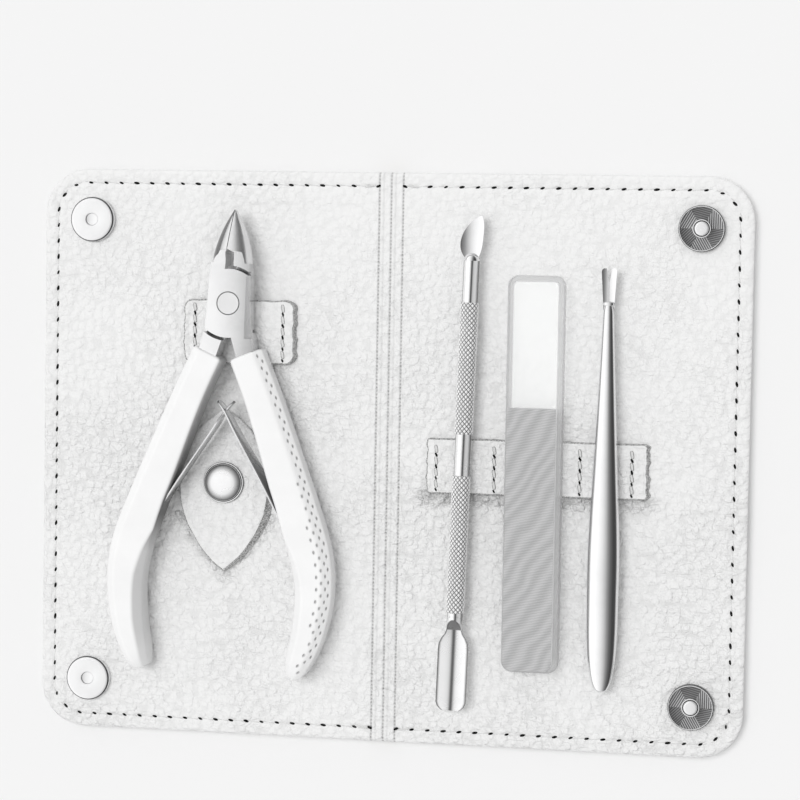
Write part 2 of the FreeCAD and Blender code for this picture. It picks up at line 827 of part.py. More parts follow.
def build():
    """Makes every node of the set, by name."""
    nodes = {}
    for side, name in ((-1, "left"), (1, "right")):
        skin, board, lining, thread = cover_pieces(side)
        nodes[name + "_outer_skin"] = skin
        nodes[name + "_board"] = board
        nodes[name + "_lining"] = lining
        nodes[name + "_edge_thread"] = thread
        nodes[name + "_snap_washers"] = snap_washers(side)
    nodes["spine_outer_skin"] = spine_strip(0, skin_thickness)
    nodes["spine_board"] = spine_strip(skin_thickness, board_top)
    nodes["spine_lining"] = spine_strip(board_top, lining_top)
    for name, (x, y) in zip(("upper", "lower"), snap_places(-1)):
        nodes[name + "_snap_socket"] = snap_disc(x, y, pin_radius + pin_clearance, socket_depth)
    for name, (x, y) in zip(("upper", "lower"), snap_places(1)):
        nodes[name + "_snap_magnet"] = snap_disc(x, y, well_radius, well_depth)
        nodes[name + "_snap_pin"] = snap_pin(x, y)
    nodes["nipper_strap"] = strap(nipper_strap_x, nipper_strap_y, nipper_strap_length, nipper_strap_width,
                                  nipper_strap_corner, nipper_strap_top)
    seam_reach = nipper_strap_length / 2 - nipper_seam_inset
    nodes["nipper_strap_thread"] = strap_seams((nipper_strap_x - seam_reach, nipper_strap_x + seam_reach),
                                               nipper_strap_y, nipper_strap_width, nipper_strap_top)
    tool_strap_top = lining_top + tool_strap_thickness
    nodes["tool_strap"] = strap(tool_strap_x, tool_strap_y, tool_strap_length, tool_strap_width,
                                tool_strap_corner, tool_strap_top)
    tool_seams = [tool_strap_x + share * tool_strap_length for share in tool_seam_shares]
    nodes["tool_strap_thread"] = strap_seams(tool_seams, tool_strap_y, tool_strap_width, tool_strap_top)
    nodes["snap_tab"] = leaf_tab()
    nodes["tab_stud"] = tab_stud()
    nodes["snap_cap"] = snap_cap()
    nodes.update(nipper_pieces())
    nodes.update(pusher_pieces())
    nodes["glass_file"] = glass_file()
    nodes["cuticle_fork"] = cuticle_fork()
    return nodes


os.makedirs("parts", exist_ok=True)
for node_name, node_shape in build().items():
    write(node_name, node_shape)
    print(node_name, len(node_shape.Solids), node_shape.isValid(), round(node_shape.Volume, 2))
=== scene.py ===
"""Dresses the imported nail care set: leather case, snaps, nipper, cuticle pusher, glass file and fork.

Lengths are in metres, in the frame of the solids. The case lies open on its back: X runs to the right, Y
towards its top edge and Z up.
"""
import math
from functools import cache

import bmesh
import bpy
from bpy.props import FloatProperty, FloatVectorProperty, IntProperty, PointerProperty
from mathutils import Matrix, Vector


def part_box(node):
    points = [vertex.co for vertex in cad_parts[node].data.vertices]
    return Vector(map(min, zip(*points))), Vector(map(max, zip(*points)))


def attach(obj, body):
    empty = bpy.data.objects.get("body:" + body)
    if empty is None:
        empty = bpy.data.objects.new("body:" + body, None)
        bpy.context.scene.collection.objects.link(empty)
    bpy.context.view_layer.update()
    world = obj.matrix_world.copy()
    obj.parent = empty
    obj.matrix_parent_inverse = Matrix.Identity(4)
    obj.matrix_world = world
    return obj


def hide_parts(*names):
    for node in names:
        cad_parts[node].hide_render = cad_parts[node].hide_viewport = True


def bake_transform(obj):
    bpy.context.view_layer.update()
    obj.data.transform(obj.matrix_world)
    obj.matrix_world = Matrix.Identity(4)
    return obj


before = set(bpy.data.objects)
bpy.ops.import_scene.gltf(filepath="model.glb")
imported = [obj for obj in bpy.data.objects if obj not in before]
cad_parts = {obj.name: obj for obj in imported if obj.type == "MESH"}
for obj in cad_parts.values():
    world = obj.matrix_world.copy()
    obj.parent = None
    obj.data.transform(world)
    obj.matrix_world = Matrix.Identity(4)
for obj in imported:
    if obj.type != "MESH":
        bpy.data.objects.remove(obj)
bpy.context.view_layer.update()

bl_info = {
    "name": "Nail care set",
    "version": (1, 0, 0),
    "blender": (4, 5, 0),
    "location": "View3D > Sidebar > Nail set",
    "description": "Builds the surfaces of a nail care set in a folding leather case",
    "category": "Object",
}

MM = 0.001
SIDES = ((-1, "left"), (1, "right"))


def middle(node):
    """The middle of a solid's box."""
    low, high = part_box(node)
    return (low + high) / 2


# Places taken from the solids
LINING_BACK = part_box("left_lining")[0].z
LINING_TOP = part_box("left_lining")[1].z
COVER_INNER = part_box("right_lining")[0].x
COVER_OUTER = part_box("right_lining")[1].x
CASE_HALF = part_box("right_lining")[1].y
SPINE_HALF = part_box("spine_lining")[1].x
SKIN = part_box("spine_outer_skin")[1].z
RIVET = middle("pivot_rivet")
TOOL_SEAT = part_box("glass_file")[0].z


# What all colour settings share
COLOUR = {"subtype": "COLOR", "size": 4, "min": 0, "max": 1}


class CaseSettings(bpy.types.PropertyGroup):
    """Sizes and colours of the case."""

    leather: FloatVectorProperty(
        name="Leather", description="Colour of the covers and the lining",
        default=(0.87, 0.87, 0.868, 1), **COLOUR)
    crease: FloatVectorProperty(
        name="Creases", description="Colour between the pebbles of the grain",
        default=(0.68, 0.68, 0.678, 1), **COLOUR)
    raw_edge: FloatVectorProperty(
        name="Raw edge", description="Colour of the cut edges of straps and tab",
        default=(0.10, 0.10, 0.098, 1), **COLOUR)
    thread: FloatVectorProperty(
        name="Thread", description="Colour of the sewing thread",
        default=(0.74, 0.74, 0.735, 1), **COLOUR)
    # Painted shade: the dark of the needle holes stands for their shadow
    needle_hole: FloatVectorProperty(
        name="Needle holes", description="Colour inside the stitch holes",
        default=(0.012, 0.012, 0.012, 1), **COLOUR)
    pebble: FloatProperty(
        name="Pebble size", description="Width of one pebble of the grain", unit="LENGTH", default=1.7 * MM)
    corner: FloatProperty(
        name="Corner radius", description="Radius of the covers' round corners", unit="LENGTH",
        default=10 * MM)
    seam_inset: FloatProperty(
        name="Seam inset", description="Distance of the edge seam from the edge", unit="LENGTH",
        default=3.05 * MM)
    stitch_pitch: FloatProperty(
        name="Stitch pitch", description="Distance from one needle hole to the next", unit="LENGTH",
        default=3.6 * MM)
    strap_pitch: FloatProperty(
        name="Strap stitch pitch", description="Distance between needle holes on the straps", unit="LENGTH",
        default=2.6 * MM)


class MetalSettings(bpy.types.PropertyGroup):
    """Colours and patterns of the metal, vinyl and glass."""

    steel: FloatVectorProperty(
        name="Steel", description="Colour of the nipper's polished levers and its springs",
        default=(0.78, 0.78, 0.784, 1), **COLOUR)
    nickel: FloatVectorProperty(
        name="Nickel", description="Colour of the snap plating, the fork and the scraper",
        default=(0.85, 0.85, 0.854, 1), **COLOUR)
    magnet: FloatVectorProperty(
        name="Magnet plate", description="Colour of the dark hatched plate",
        default=(0.26, 0.26, 0.263, 1), **COLOUR)
    vinyl: FloatVectorProperty(
        name="Vinyl", description="Colour of the dipped grips",
        default=(0.91, 0.91, 0.91, 1), **COLOUR)
    glass: FloatVectorProperty(
        name="Glass", description="Tint of the clear glass",
        default=(0.985, 0.99, 0.988, 1), **COLOUR)
    etched: FloatVectorProperty(
        name="Etched glass", description="Colour of the filing face",
        default=(0.44, 0.44, 0.443, 1), **COLOUR)
    knurl_count: IntProperty(
        name="Knurl starts", description="Ridges round the pusher's handle", min=6, default=12)
    knurl_depth: FloatProperty(
        name="Knurl depth", description="Height of the knurl's diamonds", unit="LENGTH", default=0.26 * MM)
    dimple_pitch: FloatProperty(
        name="Dimple pitch", description="Distance between dimples along a grip", unit="LENGTH",
        default=2.65 * MM)


class StageSettings(bpy.types.PropertyGroup):
    """Camera, floor and light."""

    floor: FloatVectorProperty(
        name="Floor", description="Colour of the floor", default=(0.875, 0.875, 0.875, 1), **COLOUR)
    lens: FloatProperty(
        name="Lens", description="Focal length of the camera", unit="CAMERA", default=117)
    key: FloatProperty(
        name="Key light", description="Strength of the soft sun on the left", min=0, default=1.3)
    sky: FloatProperty(
        name="Sky", description="Strength of the light all round", min=0, default=1.3)


# Meshes
def make_piece(name, points, faces, materials, slot, body=None, stands_for=(), sharp=35, painted_shades=None,
               zones=None):
    """Makes a smooth piece with its painted shade marks and the material of each face, and lets it ride on a
    body.
    """
    mesh = bpy.data.meshes.new(name)
    mesh.from_pydata([tuple(point) for point in points], [], faces)
    for material in materials:
        mesh.materials.append(material)
    shape = bmesh.new()
    shape.from_mesh(mesh)
    bmesh.ops.recalc_face_normals(shape, faces=shape.faces)
    shape.to_mesh(mesh)
    shape.free()
    mesh.polygons.foreach_set("use_smooth", [True] * len(mesh.polygons))
    mesh.set_sharp_from_angle(angle=math.radians(sharp))
    if zones:
        mesh.polygons.foreach_set("material_index", zones)
    piece = bpy.data.objects.new(name, mesh)
    bpy.context.scene.collection.objects.link(piece)
    # Painted shade and painted reflection: values that the materials read to darken the piece
    if painted_shades:
        mark(piece, "pit_and_painted_shade", painted_shades)
    if stands_for:
        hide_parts(*stands_for)
    if body:
        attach(piece, body)
    return piece


def mark(piece, name, values):
    """Writes a value on each point of a piece, for its material to read by name."""
    piece.data.attributes.new(name, "FLOAT", "POINT").data.foreach_set("value", values)


def chance(index):
    """A number from zero to one that looks random and is always the same for an index."""
    return (math.sin(index * 12.9898 + 4.1) * 43758.5453) % 1


def loops_mesh(loops):
    """Points and faces of a skin over closed loops of equal length, capped at both ends."""
    count = len(loops[0])
    points = [point for loop in loops for point in loop]
    faces = []
    for row in range(len(loops) - 1):
        for step in range(count):
            after = (step + 1) % count
            faces.append((row * count + step, row * count + after,
                          (row + 1) * count + after, (row + 1) * count + step))
    faces.append(tuple(range(count - 1, -1, -1)))
    faces.append(tuple(range((len(loops) - 1) * count, len(loops) * count)))
    return points, faces


def turns(count):
    """Equal steps of angle, once round."""
    return [2 * math.pi * step / count for step in range(count)]


def turned(profile, segments):
    """Points and faces of a turned solid from pairs of radius and height."""
    return loops_mesh([[Vector((radius * math.cos(angle), radius * math.sin(angle), height))
                        for angle in turns(segments)] for radius, height in profile])


def join(parts):
    """One list of points and one of faces from several."""
    points = []
    faces = []
    for part_points, part_faces in parts:
        start = len(points)
        points += part_points
        faces += [tuple(start + index for index in face) for face in part_faces]
    return points, faces


def placed(part, matrix):
    """A part's points moved by a matrix."""
    return [matrix @ Vector(point) for point in part[0]], part[1]


def bead(centre, along, up, half_length, half_width, half_height, power=1.0, rings=7, segments=10):
    """A long bead: an ellipsoid that a power below one makes blunter at its ends."""
    along = along.normalized()
    across = up.cross(along).normalized()
    loops = []
    for ring in range(rings):
        angle = math.pi * (ring + 0.5) / rings
        reach = -math.cos(angle)
        reach = math.copysign(abs(reach) ** power, reach)
        size = math.sin(angle) ** power
        loops.append([centre + along * half_length * reach
                      + across * half_width * size * math.cos(turn)
                      + up * half_height * size * math.sin(turn)
                      for turn in turns(segments)])
    return loops_mesh(loops)


def smooth_at(knots, place):
    """A smooth curve through rows of numbers, read at a place counted in rows."""
    last = len(knots) - 1
    index = min(int(place), last - 1)
    t = place - index
    p1, p2 = knots[index], knots[index + 1]
    p0 = knots[index - 1] if index else [2 * a - b for a, b in zip(p1, p2)]
    p3 = knots[index + 2] if index + 2 <= last else [2 * b - a for a, b in zip(p1, p2)]
    return [0.5 * (2 * b + (c - a) * t + (2 * a - 5 * b + 4 * c - d) * t * t
                   + (3 * b - a - 3 * c + d) * t ** 3) for a, b, c, d in zip(p0, p1, p2, p3)]


SWELL_HEIGHT = 0.05 * MM
# Lengths of the slow waves across, along, and on both slants
SWELL_WAVES = (6.1 * MM, 7.3 * MM, 10.7 * MM, 17.9 * MM)


def swell(x, y):
    """The slight unevenness of leather glued over board."""
    across, along, rising, falling = SWELL_WAVES
    waves = (math.sin(x / across + 0.7) * math.sin(y / along + 1.9) + math.sin((x + y) / rising)
             + math.sin((x - 2 * y) / falling))
    return SWELL_HEIGHT * (waves - 2)


# Shader helpers
class Tree:
    """Short calls that add and join the nodes of one node tree."""

    def __init__(self, tree):
        self.tree = tree

    def add(self, kind, values=None, **settings):
        """Adds a shader node, with its settings and the values of its sockets."""
        node = self.tree.nodes.new("ShaderNode" + kind)
        for name, value in settings.items():
            setattr(node, name, value)
        self.fill(node, values or {})
        return node

    def fill(self, node, values):
        """Feeds the named sockets of a node."""
        for name, value in values.items():
            self.feed(value, node.inputs[name])

    def feed(self, source, socket):
        """Joins an output to a socket, or sets the socket's own value."""
        if isinstance(source, bpy.types.NodeSocket):
            self.tree.links.new(source, socket)
        else:
            socket.default_value = source

    def sum(self, operation, first, second=0.0):
        """One step of arithmetic."""
        return self.add("Math", {0: first, 1: second}, operation=operation).outputs[0]

    def vector(self, operation, first, second):
        """One step of arithmetic with vectors."""
        return self.add("VectorMath", {0: first, 1: second}, operation=operation).outputs[0]

    def split(self, vector):
        """The three parts of a vector."""
        return self.add("SeparateXYZ", {"Vector": vector}).outputs

    def tilt(self):
        """The three parts of the direction that a surface faces on its own piece."""
        return self.split(self.add("TexCoord").outputs["Normal"])

    def mark(self, name):
        """The value that a piece's points carry under a name."""
        return self.add("Attribute", attribute_name=name).outputs["Fac"]

    def noise(self, place, scale, detail, roughness=0.5, flat=False):
        """Cloudy noise in space, or in plan only."""
        values = {"Vector": place, "Scale": scale, "Detail": detail, "Roughness": roughness}
        return self.add("TexNoise", values, noise_dimensions="2D" if flat else "3D").outputs["Fac"]

    def blend(self, factor, first, second):
        """A colour between two others."""
        values = {"Factor": factor, "A": first, "B": second}
        return self.add("Mix", values, data_type="RGBA").outputs["Result"]

    def span(self, value, low, high, start=0.0, end=1.0):
        """A value mapped smoothly from one span to another."""
        values = {"Value": value, "From Min": low, "From Max": high, "To Min": start, "To Max": end}
        return self.add("MapRange", values, interpolation_type="SMOOTHSTEP").outputs["Result"]


def new_group(name, inputs, outputs):
    """A shader group with a vector and named values, as its tree and the sockets at its two ends."""
    group = bpy.data.node_groups.new(name, "ShaderNodeTree")
    group.interface.new_socket("Vector", in_out="INPUT", socket_type="NodeSocketVector")
    for socket, default in inputs.items():
        made = group.interface.new_socket(socket, in_out="INPUT", socket_type="NodeSocketFloat")
        made.default_value = default
    for socket in outputs:
        group.interface.new_socket(socket, in_out="OUTPUT", socket_type="NodeSocketFloat")
    start = group.nodes.new("NodeGroupInput").outputs
    end = group.nodes.new("NodeGroupOutput").inputs
    return group, Tree(group), start, end


@cache
def pebble_grain():
    """Group: pebbled grain, as a height and a mask of the creases and slanted folds between the pebbles."""
    group, tree, start, end = new_group("pebble_grain", {"Scale": 500.0}, ("Height", "Crease"))
    scale = start["Scale"]
    depth = tree.split(start["Vector"])["Z"]
    lean = tree.add("CombineXYZ", {"X": depth, "Y": depth}).outputs[0]
    flat = tree.vector("ADD", start["Vector"], lean)
    warp = tree.add("TexNoise", {"Vector": flat, "Scale": scale, "Detail": 1.0}, noise_dimensions="2D")
    shift = tree.vector("SUBTRACT", warp.outputs["Color"], (0.5, 0.5, 0.5))
    reach = tree.sum("DIVIDE", 0.6, scale)
    moved = tree.add("VectorMath", {0: shift, "Scale": reach}, operation="SCALE").outputs[0]
    warped = tree.vector("ADD", flat, moved)
    cells = tree.add("TexVoronoi", {"Vector": warped, "Scale": scale, "Smoothness": 0.35},
                     voronoi_dimensions="2D", feature="SMOOTH_F1").outputs["Distance"]
    fine = tree.noise(flat, tree.sum("MULTIPLY", scale, 3.5), 2.0, flat=True)
    slanted = tree.add("Mapping", {"Vector": flat, "Rotation": (0.0, 0.0, 0.5), "Scale": (0.3, 1.0, 1.0)})
    folds = tree.noise(slanted.outputs[0], tree.sum("MULTIPLY", scale, 0.8), 2.0, flat=True)
    fold = tree.span(tree.sum("ABSOLUTE", tree.sum("SUBTRACT", folds, 0.5)), 0.0, 0.03, 1.0, 0.0)
    dome = tree.span(cells, 0.1, 0.75, 1.0, 0.0)
    height = tree.sum("ADD", tree.sum("MULTIPLY", dome, 0.7), tree.sum("MULTIPLY", fine, 0.45))
    tree.feed(tree.sum("SUBTRACT", height, tree.sum("MULTIPLY", fold, 0.1)), end["Height"])
    crease = tree.sum("MAXIMUM", tree.span(cells, 0.5, 0.78), tree.sum("MULTIPLY", fold, 0.3))
    tree.feed(crease, end["Crease"])
    return group


@cache
def patches():
    """Group: broad soft patches, from zero to one, for wear, smudges and uneven grain."""
    group, tree, start, end = new_group("patches", {"Scale": 60.0, "Low": 0.35, "High": 0.65}, ("Mask",))
    cloud = tree.noise(start["Vector"], start["Scale"], 4.0, 0.6)
    tree.feed(tree.span(cloud, start["Low"], start["High"]), end["Mask"])
    return group


@cache
def hairlines():
    """Group: fine polishing lines along one direction, as a height."""
    group, tree, start, end = new_group("hairlines", {"Across": 9000.0, "Along": 150.0}, ("Height",))
    parts = tree.split(start["Vector"])
    shrunk = {axis: tree.sum("MULTIPLY", parts[axis], start[run])
              for axis, run in (("X", "Across"), ("Y", "Along"), ("Z", "Across"))}
    place = tree.add("CombineXYZ", shrunk).outputs[0]
    tree.feed(tree.noise(place, 1.0, 2.0), end["Height"])
    return group


def new_material(name):
    """A material with its tree, its surface shader and the object's own coordinates."""
    material = bpy.data.materials.new(name)
    material.use_nodes = True
    tree = Tree(material.node_tree)
    return material, tree, material.node_tree.nodes["Principled BSDF"], tree.add("TexCoord").outputs["Object"]


def use_group(tree, group, **values):
    """Places a group in a tree, with its values, and gives its outputs."""
    return tree.add("Group", values, node_tree=group).outputs


def cloudy(tree, place, scale, low, high):
    """A mask of broad soft patches."""
    return use_group(tree, patches(), Vector=place, Scale=scale, Low=low, High=high)["Mask"]


def add_bump(tree, shader, height, distance, strength=1.0):
    """Lets a height bend a shader's normals."""
    bump = tree.add("Bump", {"Height": height, "Distance": distance, "Strength": strength})
    tree.feed(bump.outputs["Normal"], shader.inputs["Normal"])


def tinted(colour, share):
    """A lighter or darker tone of a colour."""
    return [min(1.0, channel * share) for channel in colour[:3]] + [1.0]


# Materials
CRINKLE_GAIN = 3.4
# Painted shade for steel in crevices and on the jaws' left side, the dark line round the rivet, and two plain
# metals, the darker of which is painted shade and reflection in grooves and rims
CREVICE_SHADE_STEEL = (0.02, 0.02, 0.02, 1)
JAW_SHADE_STEEL = (0.08, 0.08, 0.08, 1)
RIVET_LINE = (0.22, 0.22, 0.22, 1)
DARK_STEEL = (0.16, 0.16, 0.163, 1)
BAR_STEEL = (0.94, 0.94, 0.943, 1)
# Two tones each
# The glass rim's grey is a painted reflection
RIM_GLASS = ((0.6, 0.6, 0.603, 1), (0.66, 0.66, 0.663, 1))
GROUND_GLASS = ((0.5, 0.5, 0.503, 1), (0.7, 0.7, 0.703, 1))
BOARD = ((0.42, 0.39, 0.35, 1), (0.6, 0.57, 0.52, 1))


@cache
def pebbled_leather():
    """White leather with a pebbled grain that is stronger in patches, with painted shade where its piece
    marks it, as in the spine's pressed lines.
    """
    case = bpy.context.scene.nail_case
    material, tree, shader, place = new_material("pebbled_leather")
    grain = use_group(tree, pebble_grain(), Vector=place, Scale=1 / case.pebble)
    uneven = tree.span(cloudy(tree, place, 38.0, 0.3, 0.7), 0.0, 1.0, 0.65, 1.1)
    smoother_above = tree.span(tree.split(place)["Y"], 0.0, 0.06, 1.0, 0.6)
    crinkled = tree.span(tree.mark("crinkle"), 0.0, 1.0, 1.0, CRINKLE_GAIN)
    coarse = tree.sum("MULTIPLY", tree.sum("MULTIPLY", uneven, smoother_above), crinkled)
    crease = tree.sum("MULTIPLY", grain["Crease"], tree.sum("MULTIPLY", coarse, 0.5))
    body = tree.blend(crease, case.leather, case.crease)
    # Painted shade: the marked places darken towards the raw edge's colour
    tree.fill(shader, {"Base Color": tree.blend(tree.mark("pit_and_painted_shade"), body, case.raw_edge),
                       "Roughness": tree.span(grain["Height"], 0.2, 0.9, 0.6, 0.42),
                       "Specular IOR Level": 0.4})
    add_bump(tree, shader, tree.sum("MULTIPLY", grain["Height"], coarse), 0.56 * MM, 0.9)
    return material


@cache
def raw_edge():
    """The fibrous cut edge of leather."""
    case = bpy.context.scene.nail_case
    material, tree, shader, place = new_material("raw_edge")
    fibres = tree.noise(place, 3800.0, 5.0, 0.7)
    tree.fill(shader, {"Base Color": tree.blend(tree.span(fibres, 0.35, 0.62), case.raw_edge, case.crease),
                       "Roughness": tree.span(fibres, 0.0, 1.0, 0.8, 0.98)})
    add_bump(tree, shader, fibres, 0.2 * MM)
    return material


@cache
def sewing_thread():
    """Twisted white thread."""
    case = bpy.context.scene.nail_case
    material, tree, shader, place = new_material("sewing_thread")
    twist = tree.add("TexWave", {"Vector": place, "Scale": 900.0, "Distortion": 1.5},
                     bands_direction="DIAGONAL").outputs["Fac"]
    tree.fill(shader, {"Base Color": tree.blend(twist, case.crease, case.thread),
                       "Roughness": tree.span(twist, 0.0, 1.0, 0.85, 0.6)})
    add_bump(tree, shader, twist, 0.08 * MM)
    return material


@cache
def needle_hole_shade():
    """Painted shade inside a needle hole: a dark bead stands for the hole's shadow."""
    case = bpy.context.scene.nail_case
    material, tree, shader, place = new_material("needle_hole_shade")
    fibres = tree.noise(place, 4000.0, 3.0)
    mask = tree.span(fibres, 0.55, 0.8, 0.0, 0.25)
    tree.fill(shader, {"Base Color": tree.blend(mask, case.needle_hole, case.raw_edge),
                       "Roughness": tree.span(fibres, 0.0, 1.0, 0.8, 1.0),
                       "Specular IOR Level": 0.05})
    return material


def polished_metal(name, colour, roughness, line_depth, metallic=1.0):
    """Polished metal with faint smudges and polishing lines, darkened by the painted shade and painted
    reflection that its piece marks.
    """
    material, tree, shader, place = new_material(name)
    smudge = cloudy(tree, place, 180.0, 0.3, 0.75)
    body = tree.blend(smudge, colour, tinted(colour, 0.95))
    # Painted shade and painted reflection: marked places darken almost to black
    tree.fill(shader, {"Base Color": tree.blend(tree.mark("pit_and_painted_shade"), body, tinted(colour, 0.05)),
                       "Metallic": metallic,
                       "Roughness": tree.span(smudge, 0.0, 1.0, roughness, roughness * 1.4)})
    add_bump(tree, shader, use_group(tree, hairlines(), Vector=place)["Height"], line_depth, 0.6)
    return material


def over_metal(material):
    """A metal's tree and shader, the colour that it has so far and the distance from the rivet."""
    tree = Tree(material.node_tree)
    shader = material.node_tree.nodes["Principled BSDF"]
    off = tree.vector("SUBTRACT", tree.add("TexCoord").outputs["Object"], (RIVET.x, RIVET.y, 0))
    return tree, shader, shader.inputs["Base Color"].links[0].from_socket, off


# The nipper's head shades as if its flat top were slightly bowed, and its jaws start beyond their root
HEAD_HALF = 4.75 * MM
HEAD_CROWN = 0.45 * MM
JAW_ROOT = 10 * MM
JAW_ROOT_FADE = 0.5 * MM
# How far the painted crevice shade looks for sheltering surfaces
CREVICE_REACH = 1.5 * MM
# How far inside the rivet's edge its dark line starts and is full
RIVET_LINE_START = 0.26 * MM
RIVET_LINE_FULL = 0.12 * MM


@cache
def nipper_steel():
    """Polished steel of the levers, with painted shade in crevices and on the left side of the jaws."""
    material = polished_metal("nipper_steel", bpy.context.scene.nail_metal.steel, 0.17, 0.003 * MM, 0.85)
    tree, shader, body, off = over_metal(material)
    # Painted shade: the steel darkens where nearby surfaces shelter it, in slots and crevices
    shelter = tree.add("AmbientOcclusion", {"Distance": CREVICE_REACH}, samples=8).outputs["AO"]
    crevice_shaded = tree.blend(tree.span(shelter, 0.25, 0.62, 1.0, 0.0), body, CREVICE_SHADE_STEEL)
    parts = tree.split(off)
    # Painted shade: the jaws darken where they face left
    left = tree.span(tree.tilt()["X"], -0.6, -0.06, 0.8, 0.0)
    beyond = tree.span(parts["Y"], JAW_ROOT - JAW_ROOT_FADE, JAW_ROOT + JAW_ROOT_FADE)
    jaws = tree.sum("MULTIPLY", left, beyond)
    tree.feed(tree.blend(jaws, crevice_shaded, JAW_SHADE_STEEL), shader.inputs["Base Color"])
    across = tree.sum("DIVIDE", parts["X"], HEAD_HALF)
    crown = tree.sum("MULTIPLY", tree.sum("MULTIPLY", across, across), -1.0)
    bow = tree.add("Bump", {"Height": crown, "Distance": HEAD_CROWN})
    lines = shader.inputs["Normal"].links[0].from_node
    tree.feed(bow.outputs["Normal"], lines.inputs["Normal"])
    return material


@cache
def rivet_steel():
    """Steel of the flush rivet, with the dark line where it meets the lever."""
    material = polished_metal("rivet_steel", bpy.context.scene.nail_metal.steel, 0.2, 0.002 * MM, 0.85)
    tree, shader, body, off = over_metal(material)
    flat = tree.vector("MULTIPLY", off, (1, 1, 0))
    radius = tree.add("VectorMath", {0: flat}, operation="LENGTH").outputs["Value"]
    low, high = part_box("pivot_rivet")
    edge = (high.x - low.x) / 2
    rim = tree.span(radius, edge - RIVET_LINE_START, edge - RIVET_LINE_FULL)
    tree.feed(tree.blend(rim, body, RIVET_LINE), shader.inputs["Base Color"])
    return material


@cache
def painted_shade_steel():
    """Steel painted dark in grooves and rims: painted shade and painted reflection."""
    return polished_metal("painted_shade_steel", DARK_STEEL, 0.35, 0.002 * MM)


@cache
def mirror_steel():
    """Mirror-polished steel of the fork and the pusher's scraper."""
    return polished_metal("mirror_steel", bpy.context.scene.nail_metal.nickel, 0.09, 0.0008 * MM)


@cache
def bright_bar():
    """Pale plated steel of the pusher and the tab's button, darkened by the painted shade and painted
    reflection that its pieces mark.
    """
    return polished_metal("bright_bar", BAR_STEEL, 0.22, 0.0008 * MM, 0.3)


@cache
def spring_steel():
    """Bright rolled strip."""
    return polished_metal("spring_steel", bpy.context.scene.nail_metal.steel, 0.2, 0.002 * MM)


@cache
def bright_nickel():
    """Bright plating of snaps, pins and rims."""
    return polished_metal("bright_nickel", bpy.context.scene.nail_metal.nickel, 0.14, 0.001 * MM, 0.6)


@cache
def grip_vinyl():
    """White dipped vinyl, with painted shade in its dimples, on the left grip's inner side and a little on
    its sides.
    """
    vinyl = bpy.context.scene.nail_metal.vinyl
    material, tree, shader, place = new_material("grip_vinyl")
    cloud = cloudy(tree, place, 120.0, 0.3, 0.7)
    body = tree.blend(cloud, vinyl, tinted(vinyl, 0.97))
    # Painted shade: faces that turn away from up darken a little
    sides = tree.span(tree.tilt()["Z"], 0.05, 0.6, 0.2, 0.0)
    shade = tree.sum("MAXIMUM", tree.mark("pit_and_painted_shade"), sides)
    tree.fill(shader, {"Base Color": tree.blend(shade, body, tinted(vinyl, 0.1)),
                       "Roughness": tree.span(cloud, 0.0, 1.0, 0.34, 0.44)})
    add_bump(tree, shader, tree.noise(place, 2600.0, 2.0), 0.006 * MM)
    return material


def let_light_through(tree, shader, share):
    """Lets most light pass on to what lies below, so that glass throws a pale shadow."""
    path = tree.add("LightPath").outputs
    light = tree.sum("MAXIMUM", path["Is Shadow Ray"], path["Is Diffuse Ray"])
    tree.feed(tree.sum("SUBTRACT", 1.0, tree.sum("MULTIPLY", light, share)), shader.inputs["Alpha"])


@cache
def clear_glass():
    """Clear polished glass."""
    material, tree, shader, place = new_material("clear_glass")
    smudge = cloudy(tree, place, 140.0, 0.45, 0.8)
    tree.fill(shader, {"Base Color": bpy.context.scene.nail_metal.glass,
                       "Roughness": tree.span(smudge, 0.0, 1.0, 0.0, 0.03),
                       "Transmission Weight": 0.62, "IOR": 1.3})
    let_light_through(tree, shader, 0.96)
    return material


@cache
def rim_glass():
    """The rounded rim of the glass, painted grey: a painted reflection of the darker things that it mirrors
    and bends.
    """
    material, tree, shader, place = new_material("rim_glass")
    smudge = cloudy(tree, place, 140.0, 0.45, 0.8)
    tree.fill(shader, {"Base Color": tree.blend(smudge, *RIM_GLASS),
                       "Roughness": tree.span(smudge, 0.0, 1.0, 0.05, 0.12),
                       "Transmission Weight": 0.5, "IOR": 1.3})
    let_light_through(tree, shader, 0.9)
    return material


@cache
def ground_glass():
    """The ground edge of the glass."""
    material, tree, shader, place = new_material("ground_glass")
    grain = tree.noise(place, 3000.0, 3.0)
    tree.fill(shader, {"Base Color": tree.blend(grain, *GROUND_GLASS),
                       "Roughness": tree.span(grain, 0.0, 1.0, 0.25, 0.5),
                       "Transmission Weight": 0.35})
    add_bump(tree, shader, grain, 0.02 * MM)
    let_light_through(tree, shader, 0.7)
    return material


def slanted_waves(tree, place, degrees, **values):
    """Wavy lines that run at an angle."""
    level = tree.add("Mapping", {"Vector": place, "Rotation": (0.0, 0.0, math.radians(degrees))}).outputs[0]
    sockets = {name.replace("_", " "): value for name, value in values.items()}
    return tree.add("TexWave", {"Vector": level, **sockets}).outputs["Fac"]


@cache
def etched_glass():
    """The filing face: fine slanted waves etched in the glass, faintly seen through."""
    etched = bpy.context.scene.nail_metal.etched
    material, tree, shader, place = new_material("etched_glass")
    waves = slanted_waves(tree, place, 78, Scale=560.0, Distortion=1.6, Detail=2.0, Detail_Scale=3.0)
    broad = slanted_waves(tree, place, 35, Scale=110.0, Distortion=5.0, Detail=1.0)
    mask = tree.sum("ADD", tree.sum("MULTIPLY", waves, 0.5), tree.sum("MULTIPLY", broad, 0.5))
    tree.fill(shader, {"Base Color": tree.blend(mask, etched, tinted(etched, 1.45)),
                       "Roughness": tree.span(waves, 0.0, 1.0, 0.5, 0.7),
                       "Alpha": 0.82})
    add_bump(tree, shader, waves, 0.02 * MM)
    return material


HATCH_SECTOR = math.radians(60)
HATCH_TURN = math.radians(75)
HATCH_PITCH = 0.46 * MM


